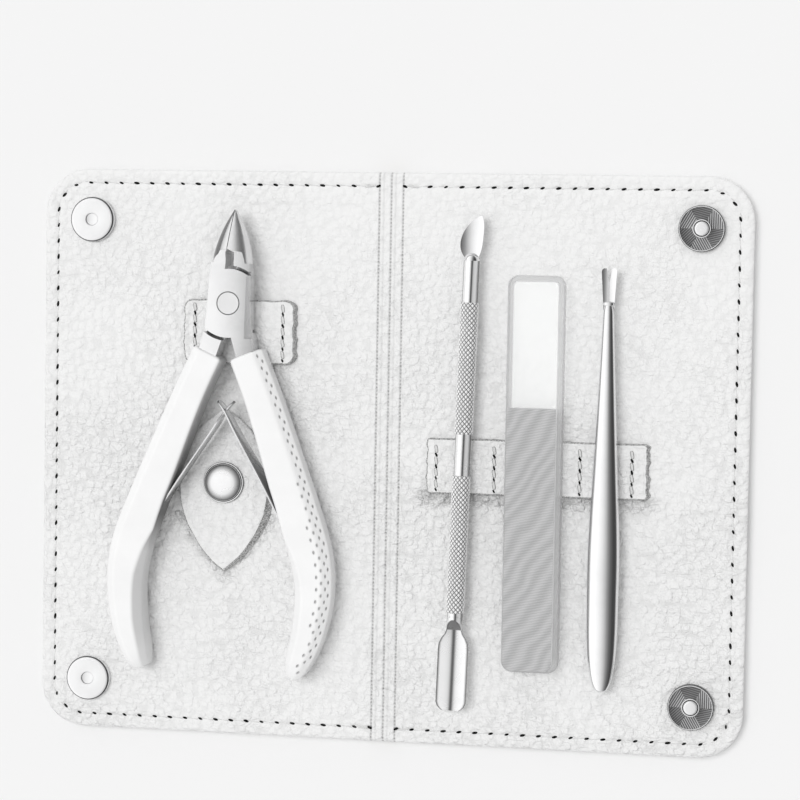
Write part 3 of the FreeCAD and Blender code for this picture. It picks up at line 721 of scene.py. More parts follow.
@cache
def magnet_plate():
    """Dark plate cut in six sectors of fine hatching that each run another way; every other sector is painted
    lighter, a painted sheen.
    """
    magnet = bpy.context.scene.nail_metal.magnet
    material, tree, shader, place = new_material("magnet_plate")
    parts = tree.split(place)
    sector = tree.sum("FLOOR", tree.sum("DIVIDE", tree.sum("ARCTAN2", parts["Y"], parts["X"]), HATCH_SECTOR))
    heading = tree.sum("MULTIPLY", sector, HATCH_TURN)
    run = tree.sum("ADD", tree.sum("MULTIPLY", parts["X"], tree.sum("COSINE", heading)),
                   tree.sum("MULTIPLY", parts["Y"], tree.sum("SINE", heading)))
    lines = tree.sum("SINE", tree.sum("MULTIPLY", run, 2 * math.pi / HATCH_PITCH))
    lines = tree.sum("ADD", tree.sum("MULTIPLY", lines, 0.5), 0.5)
    # Painted sheen: every other sector's ridges are painted lighter, as if they caught the light
    odd = tree.sum("PINGPONG", tree.sum("MULTIPLY", sector, 0.5), 0.5)
    ridge = tree.blend(tree.sum("MULTIPLY", odd, 2.0), tinted(magnet, 2.1), magnet)
    tree.fill(shader, {"Base Color": tree.blend(lines, tinted(magnet, 0.4), ridge),
                       "Metallic": 0.75,
                       "Roughness": tree.span(lines, 0.0, 1.0, 0.55, 0.3)})
    add_bump(tree, shader, lines, 0.05 * MM)
    return material


@cache
def grey_board():
    """The stiffening board inside the covers."""
    material, tree, shader, place = new_material("grey_board")
    fibres = tree.noise(place, 1500.0, 4.0)
    tree.fill(shader, {"Base Color": tree.blend(fibres, *BOARD),
                       "Roughness": tree.span(fibres, 0.0, 1.0, 0.75, 0.95)})
    return material


def dress(material, *nodes):
    """Gives solids that show as they are a finished material."""
    for node in nodes:
        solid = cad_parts[node]
        solid.data.materials.clear()
        solid.data.materials.append(material)


# Covers
COVER_STEPS = {"side": 118, "corner": 26, "outer": 182}
PANEL_INSETS = [inset * MM for inset in (
    0, 0.06, 0.2, 0.42, 0.7, 1.0, 1.5, 2.0, 2.35, 2.6, 2.8, 2.95, 3.1, 3.3, 3.55, 3.9, 4.6, 5.6, 7.0)]
EDGE_ROUND = 1.0 * MM
EDGE_SHARE = 0.9
SEAM_DEPTH = 0.34 * MM
SEAM_REACH = 0.42 * MM
SEAM_PULL = 0.38
# How deep in the seam its stitches lie, as a share of its depth
SEAM_FLOOR = 0.78
# Columns and rows over which the swell fades out towards a panel's edges
FADE_COLUMNS = 16
FADE_ROWS = 20


def cover_path(side, inset):
    """Plan points of a cover's three sewn edges at an inset, from the crease's low end to its high end."""
    case = bpy.context.scene.nail_case
    centre_x = COVER_OUTER - case.corner
    centre_y = CASE_HALF - case.corner
    radius = case.corner - inset
    steps = COVER_STEPS
    lower = [(COVER_INNER + (centre_x - COVER_INNER) * step / steps["side"], inset - CASE_HALF)
             for step in range(steps["side"])]
    for step in range(steps["corner"]):
        angle = math.pi / 2 * step / steps["corner"]
        lower.append((centre_x + radius * math.sin(angle), -centre_y - radius * math.cos(angle)))
    outer = [(COVER_OUTER - inset, -centre_y + 2 * centre_y * step / steps["outer"])
             for step in range(steps["outer"] + 1)]
    path = lower + outer + [(x, -y) for x, y in reversed(lower)]
    return [(side * x, y) for x, y in path]


def walk(path, pitch, start):
    """Points at equal distances along a plan path, each with its direction."""
    travelled = 0.0
    wanted = start
    for (x0, y0), (x1, y1) in zip(path, path[1:]):
        length = math.hypot(x1 - x0, y1 - y0)
        while length and wanted <= travelled + length:
            share = (wanted - travelled) / length
            heading = Vector((x1 - x0, y1 - y0, 0)).normalized()
            yield (x0 + (x1 - x0) * share, y0 + (y1 - y0) * share), heading
            wanted += pitch
        travelled += length


def edge_drop(inset, thickness):
    """How far a leather face lies below its full height near its rounded edge."""
    edge = max(0.0, 1 - inset / EDGE_ROUND)
    return EDGE_SHARE * thickness * (1 - math.sqrt(max(0.0, 1 - edge * edge)))


def panel_drop(inset, phase, thickness):
    """How far a panel's face lies below its full height at an inset and a place between stitches."""
    seam = (inset - bpy.context.scene.nail_case.seam_inset) / SEAM_REACH
    pull = 1 - SEAM_PULL + SEAM_PULL * math.cos(phase)
    return edge_drop(inset, thickness) + SEAM_DEPTH * math.exp(-seam * seam) * pull


def cover_panel(side, face_z, back_z):
    """Points and faces of one leather layer of a cover: a sewn face, a rounded edge and a flat back."""
    case = bpy.context.scene.nail_case
    up = 1 if face_z > back_z else -1
    thickness = abs(face_z - back_z)
    seam = cover_path(side, case.seam_inset)
    phases = [0.0]
    for (x0, y0), (x1, y1) in zip(seam, seam[1:]):
        phases.append(phases[-1] + 2 * math.pi * math.hypot(x1 - x0, y1 - y0) / case.stitch_pitch)
    points = []
    faces = []
    rings = []
    for inset in PANEL_INSETS:
        ring = []
        for (x, y), phase in zip(cover_path(side, inset), phases):
            ring.append(len(points))
            points.append((x, y, face_z - up * panel_drop(inset, phase, thickness)))
        rings.append(ring)
    back = list(range(len(points), len(points) + len(seam)))
    points += [(x, y, back_z) for x, y in cover_path(side, 0.0)]
    for outer, inner in zip([back] + rings, rings):
        faces += [(outer[k], outer[k + 1], inner[k + 1], inner[k]) for k in range(len(outer) - 1)]
    columns = COVER_STEPS["side"]
    rows = [rings[-1][:columns + 1]]
    ends = rings[-1][columns + 1:len(seam) - columns - 1]
    for step, right in enumerate(ends):
        end_x, end_y = points[right][:2]
        row = []
        for column in range(columns):
            x = side * COVER_INNER + (end_x - side * COVER_INNER) * column / columns
            fade = min(1.0, column / FADE_COLUMNS, (columns - column) / FADE_COLUMNS,
                       (step + 1) / FADE_ROWS, (len(ends) - step) / FADE_ROWS)
            fade = fade * fade * (3 - 2 * fade)
            row.append(len(points))
            points.append((x, end_y, face_z + up * fade * swell(x, end_y)))
        rows.append(row + [right])
    rows.append(list(reversed(rings[-1][len(seam) - columns - 1:])))
    for lower, upper in zip(rows, rows[1:]):
        faces += [(lower[k], lower[k + 1], upper[k + 1], upper[k]) for k in range(columns)]
    wall = [ring[0] for ring in rings] + [row[0] for row in rows[1:-1]]
    wall += [ring[-1] for ring in reversed(rings)]
    faces.append(tuple(wall + [back[-1], back[0]]))
    faces.append(tuple(back))
    return points, faces


CRINKLE_REACH = 2.6 * MM
TAB_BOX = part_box("snap_tab")
TOOL_STRAP_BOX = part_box("tool_strap")
# From this share down the tab's lower half the lining is drawn in, and above it lies smooth
TAB_DRAWN_FROM = 0.35
# How much faster the crinkles fade under the tool strap than below it
UNDER_STRAP = 4


def crinkle(x, y):
    """How crinkled the lining is, where it is drawn in below the leaf tab and the tool strap."""
    low, high = TAB_BOX
    centre = (low + high) / 2
    down = (centre.y - y) / (centre.y - low.y)
    tab_gap = CRINKLE_REACH * 3
    if down > TAB_DRAWN_FROM:
        tab_gap = max(abs(x - centre.x) - (high.x - centre.x) * max(0.0, 1 - down * down), 0.0)
    tab_gap = math.hypot(tab_gap, max(0.0, low.y - y))
    low, high = TOOL_STRAP_BOX
    strap_gap = math.hypot(max(low.x - x, 0.0, x - high.x), max(low.y - y, 0.0, UNDER_STRAP * (y - low.y)))
    return max(math.exp(-(gap / CRINKLE_REACH) ** 2) for gap in (tab_gap, strap_gap))


# Half sizes of a stitch and of a needle hole, how blunt they are and the gap between them
THREAD_RISE = 0.17 * MM
THREAD_GAP = 0.45 * MM
THREAD_BLUNT = 0.6
OUTLINE_RISE = 0.06 * MM
HOLE_LENGTH = 0.6 * MM
HOLE_WIDTH = 0.3 * MM
HOLE_RISE = 0.09 * MM
HOLE_BLUNT = 0.9
STITCH_LIFT = 0.02 * MM
# The least share and the spread of the holes' sizes and slants, and the threads' share of the slant
HOLE_SIZES = (0.8, 0.4)
HOLE_SLANTS = (0.4, 0.8)
THREAD_SLANT = 0.3
EDGE_SLANT = 0.5


def stitch_line(spots, height, up, pitch, slant, girth=0.21 * MM, outline=0.0, hole=1.0):
    """Threads between needle holes, and the holes, along spots with their directions; the holes and any
    outlines round the threads are dark beads of painted shade.
    """
    threads = []
    holes = []
    lift = Vector((0, 0, up))
    least_size, more_size = HOLE_SIZES
    least_slant, more_slant = HOLE_SLANTS
    for index, ((x, y), along) in enumerate(spots):
        across = Vector((-along.y, along.x, 0))
        spot = Vector((x, y, height)) + lift * STITCH_LIFT
        size = hole * (least_size + more_size * chance(index))
        lean = slant * (least_slant + more_slant * chance(index + 31))
        holes.append(bead(spot, along + across * lean, lift, HOLE_LENGTH * size, HOLE_WIDTH * size, HOLE_RISE,
                          power=HOLE_BLUNT))
        course = along + across * slant * THREAD_SLANT
        centre = spot + along * pitch / 2
        reach = pitch / 2 - THREAD_GAP
        threads.append(bead(centre, course, lift, reach, girth, THREAD_RISE, power=THREAD_BLUNT))
        # Painted shade: a dark bead round the thread, in the needle holes' material
        if outline:
            holes.append(bead(centre, course, lift, reach + outline, girth + outline, OUTLINE_RISE,
                              power=THREAD_BLUNT))
    return join(threads), join(holes)


def sewn_pieces(label, seams, body=None, stands_for=()):
    """Two pieces from stitch lines: the threads, which stand for a solid, and the needle holes with the
    thread outlines, painted shade.
    """
    threads, holes = (join(parts) for parts in zip(*seams))
    return (make_piece(label + "_stitches", *threads, [sewing_thread()], "seam_thread", body, stands_for),
            make_piece(label + "_needle_holes", *holes, [needle_hole_shade()], "seam_thread", body))


class NAILSET_OT_covers(bpy.types.Operator):
    """Leather skins, linings and edge seams of both covers"""

    bl_idname = "nailset.covers"
    bl_label = "Covers"

    def execute(self, context):
        case = context.scene.nail_case
        for side, name in SIDES:
            body = name + "_cover"
            points, faces = cover_panel(side, LINING_TOP, LINING_BACK)
            lining = make_piece(name + "_lining_leather", points, faces, [pebbled_leather()],
                                "lining_leather", body, [name + "_lining"])
            mark(lining, "crinkle", [crinkle(x, y) for x, y, height in points])
            make_piece(name + "_skin_leather", *cover_panel(side, 0.0, LINING_BACK), [pebbled_leather()],
                       "case_leather", body, [name + "_outer_skin"])
            pitch = case.stitch_pitch
            spots = list(walk(cover_path(side, case.seam_inset), pitch, pitch))[:-1]
            seams = [stitch_line(spots, face - up * SEAM_DEPTH * SEAM_FLOOR, up, pitch, side * EDGE_SLANT)
                     for face, up in ((LINING_TOP, 1), (0.0, -1))]
            sewn_pieces(name + "_edge", seams, body, [name + "_edge_thread"])
        dress(grey_board(), "left_board", "right_board", "spine_board")
        return {"FINISHED"}


# Spine
SPINE_ROWS = 640
SPINE_COLUMNS = 26
# A power above one crowds the columns towards the creases
SPINE_CROWDING = 1.4
CREASE_DEPTH = 0.32 * MM
CREASE_REACH = 0.2 * MM
# How dark the painted shade in the pressed lines gets
CREASE_SHADE = 0.55
DOT_PITCH = 0.8 * MM
DOT_SHARE = 0.3
FAINT_STEP = 1.0 * MM
FAINT_SHARE = 0.24
# Where the last edge stitches start beside a cover, how far from the crease they end, and how deep they lie
LAST_STITCH_START = 0.01 * MM
LAST_STITCH_END = 1.5 * MM
LAST_STITCH_SINK = 0.06 * MM


def crease_drop(x, y):
    """How deep the embossed dotted lines, each with a faint line on its right, lie in the spine's lining."""
    dots = 1 - DOT_SHARE + DOT_SHARE * math.cos(2 * math.pi * y / DOT_PITCH)
    depth = 0.0
    for line in (-SPINE_HALF, 0.0, SPINE_HALF):
        off = (x - line) / CREASE_REACH
        faint = (x - line - FAINT_STEP) / CREASE_REACH
        depth += CREASE_DEPTH * (dots * math.exp(-off * off) + FAINT_SHARE * math.exp(-faint * faint))
    return depth


def spine_half(side, face_z, back_z, embossed):
    """Points and faces of half of a spine layer, from its middle to the edge of one cover."""
    up = 1 if face_z > back_z else -1
    loops = []
    for column in range(SPINE_COLUMNS + 1):
        x = side * COVER_INNER * (1 - (1 - column / SPINE_COLUMNS) ** SPINE_CROWDING)
        face = []
        back = []
        for row in range(SPINE_ROWS + 1):
            y = CASE_HALF * (2 * row / SPINE_ROWS - 1)
            drop = edge_drop(CASE_HALF - abs(y), abs(face_z - back_z))
            if embossed:
                drop += crease_drop(x, y)
            face.append(Vector((x, y, face_z - up * drop)))
            back.append(Vector((x, y, back_z)))
        loops.append(face + list(reversed(back)))
    return loops_mesh(loops)


def last_stitches(case, side):
    """The last stitches of the edge seam, between a cover and its crease, at both ends of the spine."""
    for edge in (-1, 1):
        y = edge * (CASE_HALF - case.seam_inset)
        path = [(side * (COVER_INNER + LAST_STITCH_START), y), (side * (SPINE_HALF + LAST_STITCH_END), y)]
        spots = list(walk(path, case.stitch_pitch, 0.0))
        yield stitch_line(spots, LINING_TOP - LAST_STITCH_SINK, 1, case.stitch_pitch,
                          side * edge * -EDGE_SLANT)


class NAILSET_OT_spine(bpy.types.Operator):
    """Leather of the spine, whose lining is pressed in along each crease"""

    bl_idname = "nailset.spine"
    bl_label = "Spine"

    def execute(self, context):
        layers = (("lining", LINING_TOP, LINING_BACK, True, "lining_leather", "spine_lining"),
                  ("skin", 0.0, SKIN, False, "case_leather", "spine_outer_skin"))
        for label, face, back, embossed, slot, node in layers:
            for side, name in SIDES:
                points, faces = spine_half(side, face, back, embossed)
                pieces = [make_piece("spine_" + label + "_" + name, points, faces, [pebbled_leather()], slot,
                                     stands_for=[node])]
                if embossed:
                    # Painted shade in the pressed lines, darkest where they lie deepest
                    mark(pieces[0], "pit_and_painted_shade", [CREASE_SHADE * min(1.0, crease_drop(p.x, p.y) / CREASE_DEPTH)
                                            for p in points])
                    pieces += sewn_pieces("spine_" + name, last_stitches(context.scene.nail_case, side))
                for piece in pieces:
                    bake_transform(piece)
        return {"FINISHED"}


# Snaps
# Radius and height in millimetres, with the finish of the band that starts there
# DARK bands are painted shade and painted reflection on grooves and bevels
BRIGHT, DARK, HATCHED, PALE = range(4)
SOCKET_PROFILE = (
    (0.05, 1.20, BRIGHT), (1.20, 1.20, BRIGHT), (1.34, 1.26, DARK), (1.40, 1.38, BRIGHT),
    (1.50, 1.44, BRIGHT), (1.62, 1.46, BRIGHT), (3.2, 1.45, BRIGHT), (4.3, 1.42, BRIGHT), (4.78, 1.38, DARK),
    (4.95, 1.26, DARK), (5.06, 1.05, BRIGHT), (5.1, 0.8, BRIGHT), (5.1, 0.02, BRIGHT))
MAGNET_PROFILE = (
    (0.05, 1.0, DARK), (1.62, 1.0, DARK), (1.70, 1.06, DARK), (1.76, 1.36, BRIGHT), (1.82, 1.44, BRIGHT),
    (1.92, 1.45, BRIGHT), (2.00, 1.40, DARK), (2.08, 1.36, HATCHED), (4.72, 1.36, DARK), (4.78, 1.40, BRIGHT),
    (4.86, 1.44, BRIGHT), (4.94, 1.40, DARK), (5.04, 1.28, DARK), (5.1, 1.1, DARK), (5.1, 0.02, DARK))
PIN_PROFILE = (
    (0.05, 1.84, BRIGHT), (1.0, 1.836, BRIGHT), (1.3, 1.82, BRIGHT), (1.45, 1.78, BRIGHT),
    (1.54, 1.70, BRIGHT), (1.58, 1.55, BRIGHT), (1.58, 1.0, BRIGHT))
CAP_PROFILE = (
    (0.05, 1.45, PALE), (0.9, 1.445, PALE), (1.8, 1.42, PALE), (2.6, 1.35, PALE), (3.2, 1.23, PALE),
    (3.7, 1.04, PALE), (4.05, 0.82, PALE), (4.2, 0.62, DARK), (4.24, 0.50, DARK), (4.30, 0.46, DARK),
    (4.36, 0.50, BRIGHT), (4.44, 0.56, BRIGHT), (4.54, 0.57, BRIGHT), (4.62, 0.50, DARK), (4.69, 0.36, DARK),
    (4.7, 0.2, DARK), (4.66, 0.06, BRIGHT), (4.5, 0.02, BRIGHT))
SNAP_SEGMENTS = 96
# Name of the piece, its profile and slot, the body it rides on, its node and the node that it is centred on
CORNER_SNAPS = (
    ("_socket_disc", SOCKET_PROFILE, "snap_metal", "left_cover", "_snap_socket", "_snap_socket"),
    ("_magnet_disc", MAGNET_PROFILE, "magnet_metal", "right_cover", "_snap_magnet", "_snap_magnet"),
    ("_magnet_stud", PIN_PROFILE, "magnet_pin", "right_cover", "_snap_pin", "_snap_magnet"))


def turned_piece(name, profile, at, slot, body, node):
    """A turned piece whose own origin lies on its axis, with the finish of each band."""
    points, faces = turned([(radius * MM, height * MM) for radius, height, finish in profile], SNAP_SEGMENTS)
    bands = [finish for radius, height, finish in profile[:-1] for step in range(SNAP_SEGMENTS)]
    finishes = [bright_nickel(), painted_shade_steel(), magnet_plate(), bright_bar()]
    piece = make_piece(name, points, faces, finishes, slot, zones=bands + [BRIGHT, BRIGHT])
    piece.location = at
    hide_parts(node)
    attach(piece, body)
    return piece


class NAILSET_OT_snaps(bpy.types.Operator):
    """Corner snaps: plain sockets on the left, hatched magnets with pins on the right"""

    bl_idname = "nailset.snaps"
    bl_label = "Corner snaps"

    def execute(self, context):
        for place in ("upper", "lower"):
            for name, profile, slot, body, node, centre in CORNER_SNAPS:
                at = middle(place + centre)
                at.z = LINING_TOP
                turned_piece(place + name, profile, at, slot, body, place + node)
        dress(bright_nickel(), "left_snap_washers", "right_snap_washers")
        return {"FINISHED"}


# Straps and tab
CORNER_STEPS = 10
STRAP_SIDE_STEPS = 60
STRAP_INSETS = [inset * MM for inset in (0, 0.05, 0.16, 0.34, 0.6, 1.0, 1.6)]
STRAP_DROPS = [drop * MM for drop in (0.34, 0.2, 0.09, 0.03, 0.0, 0.0, 0.0)]
STRAP_RAW_RINGS = 4
STRAP_SEAMS = {"nipper_strap": (-0.398, 0.398), "tool_strap": (-0.455, -0.19, 0.197, 0.43)}
STRAP_CORNER = {"nipper_strap": 2.2 * MM, "tool_strap": 1.0 * MM}
STRAP_CORNER_LEAST = 0.1 * MM
STRAP_SINK = 0.1 * MM
# How far from the strap's lower and upper edges a seam ends, where its first hole lies and how deep it is
STRAP_SEAM_ENDS = (0.5 * MM, 0.3 * MM)
STRAP_SEAM_START = 0.4 * MM
STRAP_SEAM_SINK = 0.02 * MM
STRAP_SLANT = 0.6
STRAP_GIRTH = 0.32 * MM
# Width of the dark outline of painted shade round each strap stitch
STRAP_OUTLINE = 0.05 * MM
STRAP_HOLE = 0.75
# How far the dark raw edge reaches out on the strap's right: partly the cut edge, partly painted shadow
STRAP_EDGE_AND_SHADOW = 0.45 * MM
STRAP_FRAY = 0.2 * MM
STRAP_FRAY_STEP = 0.45 * MM
STRAP_FRAY_FADE = 1.0 * MM
# Share, length and start of the waves in a hand-cut edge
FRAY_WAVES = ((0.6, 1.7 * MM, 0.0), (0.4, 0.73 * MM, 1.1), (0.3, 4.3 * MM, 0.4))


def fray(distance, size):
    """The small waver of a hand-cut edge."""
    return size * sum(share * math.sin(distance / length + start) for share, length, start in FRAY_WAVES)


def rounded_outline(low, high, corner, inset, side_steps=1):
    """Plan points round a box with round corners at an inset, with its sides divided in steps."""
    radius = corner - inset
    arcs = []
    for x, y, turn in ((high.x - corner, low.y + corner, -90), (high.x - corner, high.y - corner, 0),
                       (low.x + corner, high.y - corner, 90), (low.x + corner, low.y + corner, 180)):
        angles = [math.radians(turn + 90 * step / CORNER_STEPS) for step in range(CORNER_STEPS + 1)]
        arcs.append([Vector((x + radius * math.cos(angle), y + radius * math.sin(angle), 0))
                     for angle in angles])
    points = []
    for arc, after in zip(arcs, arcs[1:] + arcs[:1]):
        points += arc + [arc[-1].lerp(after[0], step / side_steps) for step in range(1, side_steps)]
    return points


def panel_from_outlines(outlines, heights, raw_rings):
    """A flat leather piece from outlines and heights, lowest first, with the rings of its raw edge."""
    loops = []
    for ring, (outline, height) in enumerate(zip(outlines, heights)):
        rise = 1 if ring > raw_rings + 1 else 0
        loops.append([Vector((p.x, p.y, height + rise * swell(p.x, p.y))) for p in outline])
    points, faces = loops_mesh(loops)
    raw = len(outlines[0]) * raw_rings
    return points, faces, [1 if index < raw else 0 for index in range(len(faces))]


def strap_piece(node, body, back_z):
    """One strap with frayed edges, whose dark raw edge reaches out wider on its right: partly its cut edge,
    partly a painted shadow.
    """
    low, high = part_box(node)
    centre = (low + high) / 2
    corner = STRAP_CORNER[node]
    outlines = []
    for inset in STRAP_INSETS:
        rounding = max(corner, inset + STRAP_CORNER_LEAST)
        outline = rounded_outline(low, high, rounding, inset, STRAP_SIDE_STEPS)
        loose = max(0.0, 1 - inset / STRAP_FRAY_FADE)
        frayed = []
        for index, p in enumerate(outline):
            away = Vector((p.x - centre.x, p.y - centre.y, 0)).normalized()
            frayed.append(p + away * fray(index * STRAP_FRAY_STEP, STRAP_FRAY) * loose)
        outlines.append(frayed)
    # Partly painted shadow: the lowest ring reaches out on the right as a wider dark raw edge
    edge_and_shadow = [p + Vector((STRAP_EDGE_AND_SHADOW * max(0.0, (p.x - high.x + corner) / corner), 0, 0))
             for p in outlines[0]]
    heights = [back_z] + [high.z - drop for drop in STRAP_DROPS]
    points, faces, zones = panel_from_outlines([edge_and_shadow] + outlines, heights, STRAP_RAW_RINGS)
    make_piece(node + "_leather", points, faces, [pebbled_leather(), raw_edge()], "strap_leather", body,
               [node], zones=zones)


class NAILSET_OT_straps(bpy.types.Operator):
    """Straps under the tools, with the seams that sew them down"""

    bl_idname = "nailset.straps"
    bl_label = "Straps"

    def execute(self, context):
        pitch = context.scene.nail_case.strap_pitch
        bottom, top = STRAP_SEAM_ENDS
        for node, body in (("nipper_strap", "left_cover"), ("tool_strap", "right_cover")):
            strap_piece(node, body, LINING_TOP - STRAP_SINK)
            low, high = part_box(node)
            seams = []
            for share in STRAP_SEAMS[node]:
                x = (low.x + high.x) / 2 + share * (high.x - low.x)
                spots = list(walk([(x, low.y + bottom), (x, high.y - top)], pitch, STRAP_SEAM_START))[:-1]
                seams.append(stitch_line(spots, high.z - STRAP_SEAM_SINK, 1, pitch, STRAP_SLANT,
                                         girth=STRAP_GIRTH, outline=STRAP_OUTLINE, hole=STRAP_HOLE))
            sewn_pieces(node, seams, body, [node + "_thread"])
        return {"FINISHED"}


TAB_STEPS = 96
TAB_SHARES = (1.0, 1.0, 0.99, 0.978, 0.962, 0.93, 0.85, 0.6, 0.3)
TAB_DROPS = (1.0, 0.4, 0.2, 0.1, 0.04, 0.0, 0.0, 0.0, 0.0)
TAB_RAW_RINGS = 3
# The raw edge shows up to this share of the tab's half length
TAB_RAW_TO = 0.2
TAB_UPPER = 0.83
# How far the dark raw edge reaches out on the tab's lower right: partly the cut edge, partly painted shadow
TAB_EDGE_AND_SHADOW = 1.1 * MM
TAB_FRAY = 0.16 * MM
TAB_FRAY_STEP = 0.42 * MM
TAB_FRAY_FADE = 20
# The button's dome in millimetres, and how dark the painted shade makes each millimetre from the shade's
# start outwards
BUTTON_DOME = 4.1
BUTTON_SHADE_START = 2.5
BUTTON_SHADE = 0.6


def tab_edge(half_width, half_length):
    """Plan points round the leaf tab, whose upper half is drawn a little shorter."""
    radius = (half_length ** 2 + half_width ** 2) / (2 * half_width)
    reach = math.asin(half_length / radius)
    edge = []
    for side in (1, -1):
        for step in range(TAB_STEPS):
            angle = side * reach * (2 * step / TAB_STEPS - 1)
            y = radius * math.sin(angle)
            edge.append(Vector((side * (radius * math.cos(angle) - radius + half_width),
                                y * (TAB_UPPER if y > 0 else 1), 0)))
    return edge


class NAILSET_OT_tab(bpy.types.Operator):
    """Leaf tab with its domed snap button"""

    bl_idname = "nailset.tab"
    bl_label = "Snap tab"

    def execute(self, context):
        low, high = TAB_BOX
        centre = (low + high) / 2
        half_width = (high.x - low.x) / 2
        half_length = (high.y - low.y) / 2
        edge = tab_edge(half_width, half_length)
        outlines = []
        for ring, share in enumerate(TAB_SHARES):
            loose = max(0.0, 1 - (1 - share) * TAB_FRAY_FADE)
            outline = []
            for index, p in enumerate(edge):
                away = loose * fray(index * TAB_FRAY_STEP, TAB_FRAY)
                # Partly painted shadow: the lowest ring reaches out on the lower right as a wider dark raw
                # edge
                if ring == 0:
                    lower = min(1, max(0, 0.5 - 2 * p.y / half_length))
                    away += TAB_EDGE_AND_SHADOW * max(0, p.x / half_width) ** 0.5 * lower
                outline.append(centre + p * share + p.normalized() * away)
            outlines.append(outline)
        heights = [high.z - drop * MM for drop in TAB_DROPS]
        points, faces, zones = panel_from_outlines(outlines, heights, TAB_RAW_RINGS)
        zones = [zone if edge[index % len(edge)].y < TAB_RAW_TO * half_length else 0
                 for index, zone in enumerate(zones)]
        make_piece("tab_leather", points, faces, [pebbled_leather(), raw_edge()], "strap_leather", "snap_tab",
                   ["snap_tab"], zones=zones)
        button = turned_piece("tab_snap_button", CAP_PROFILE, (centre.x, centre.y, high.z), "snap_metal",
                              "snap_tab", "snap_cap")
        # Painted shade: the dome darkens towards its edge
        shades = [BUTTON_SHADE * max(0.0, radius - BUTTON_SHADE_START) if radius < BUTTON_DOME else 0.0
                  for radius, height, finish in CAP_PROFILE]
        mark(button, "pit_and_painted_shade", [shade for shade in shades for step in range(SNAP_SEGMENTS)])
        dress(bright_nickel(), "tab_stud")
        return {"FINISHED"}


# Nipper
NIPPER_TILT = math.radians(-1.6)
HANDLE_REACH = 84 * MM
HANDLE_SPREAD = 21.9 * MM
GRIP_WIDTH = 9.1 * MM
GRIP_HEIGHT = 6.2 * MM
GRIP_BEVEL = 2.0 * MM
GRIP_FOOT = 1.4 * MM
GRIP_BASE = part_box("pivot_rivet")[0].z
# Along the handle, out from the middle, grip width, foot and grip height, as shares
HANDLE_SHARES = (
    (0.133, 0.196, 0.83, 0.0, 1.00),
    (0.226, 0.349, 0.84, 0.0, 1.00),
    (0.321, 0.491, 0.88, 0.0, 1.00),
    (0.452, 0.674, 0.95, 0.0, 1.00),
    (0.536, 0.795, 0.97, 0.0, 1.00),
    (0.655, 0.945, 1.00, 0.0, 1.00),
    (0.762, 1.000, 0.93, 0.4, 1.00),
    (0.869, 0.957, 0.81, 0.9, 1.00),
    (0.952, 0.865, 0.62, 1.0, 0.96),
    (0.995, 0.795, 0.36, 0.9, 0.72),
)
GRIP_STEPS = 520
# Inner bevel as a share of the outer one, at places along the handle
INNER_BEVEL = ((0.13, 0.27), (0.52, 0.27), (0.60, 0.15), (0.67, 0.67), (0.735, 0.95), (0.865, 1.0),
               (0.95, 0.8), (1.0, 0.6))
# How dark the painted shade on the left grip's inner side is, at places along the handle
INNER_SHADE = ((0.13, 0.5), (0.40, 0.7), (0.50, 0.93), (0.56, 0.96), (0.62, 0.6), (0.67, 0.33), (0.9, 0.3),
               (1.0, 0.15))
INNER_SHADE_EDGE = 0.3 * MM
# Rows of dimples: distance across from the outer edge in millimetres, and where along the grip each runs
DIMPLE_ROWS = ((0.35, 0.02, 0.95), (1.15, 0.0, 0.98), (2.2, 0.40, 0.96), (3.3, 0.50, 0.86))
DIMPLE_LENGTH = 0.40 * MM
DIMPLE_WIDTH = 0.27 * MM
DIMPLE_DEPTH = 0.28 * MM
# How dark the painted shade in the dimples is
DIMPLE_SHADE = 0.68
DIMPLE_AIM = Vector((0.5, 0.85))
# Lengths over which a grip's two ends round off, and how slim they get
GRIP_TIP_ROUND = 1.6 * MM
GRIP_MOUTH_ROUND = 0.7 * MM
GRIP_SLIM = 0.72
GRIP_TIP_LEAST = 0.02
GRIP_MOUTH_LEAST = 0.04
GRIP_LENGTH = (HANDLE_SHARES[-1][0] - HANDLE_SHARES[0][0]) * HANDLE_REACH
# Along the handle and out from the middle, from the grip to the tip, as shares
SPRING_SHARES = (
    (0.583, 0.694),
    (0.506, 0.521),
    (0.452, 0.393),
    (0.398, 0.260),
    (0.336, 0.110),
    (0.288, 0.000),
    (0.262, -0.087),
)
SPRING_STEPS = 90
SPRING_HALF_WIDTH = 2.3 * MM
SPRING_HALF_THICKNESS = 0.25 * MM
SPRING_LEAN = 0.8 * MM
SPRING_TAPER = 0.25
# Shares of a spring's length: where the left-hand one narrows to a tongue, and where the tip rounds off
TONGUE_START = 0.72
TONGUE_SHOULDER = 0.1
TONGUE_CUT = 0.67
SPRING_TIP = 0.94
# Painted shade on the upper edge near a spring's tip and on its faces near the root
TIP_SHADE = 0.6
TIP_SHADE_START = 0.86
ROOT_SHADE = 0.7
ROOT_SHADE_FALL = 1.25
ROOT_SHADE_LEAST = 0.15
# A spring's section: through its thickness, which is less at both edges, and up its height
SPRING_EDGE_SHARE = 0.6
SPRING_SECTION = ((1, -1), (1, -0.85), (1, 0.85), (1, 1), (-1, 1), (-1, 0.85), (-1, -0.85), (-1, -1))


def nipper_matrix():
    """From the nipper's own plan, drawn about the rivet with the jaws along +Y, to its place on the cover."""
    return Matrix.Translation((RIVET.x, RIVET.y, 0)) @ Matrix.Rotation(NIPPER_TILT, 4, "Z")


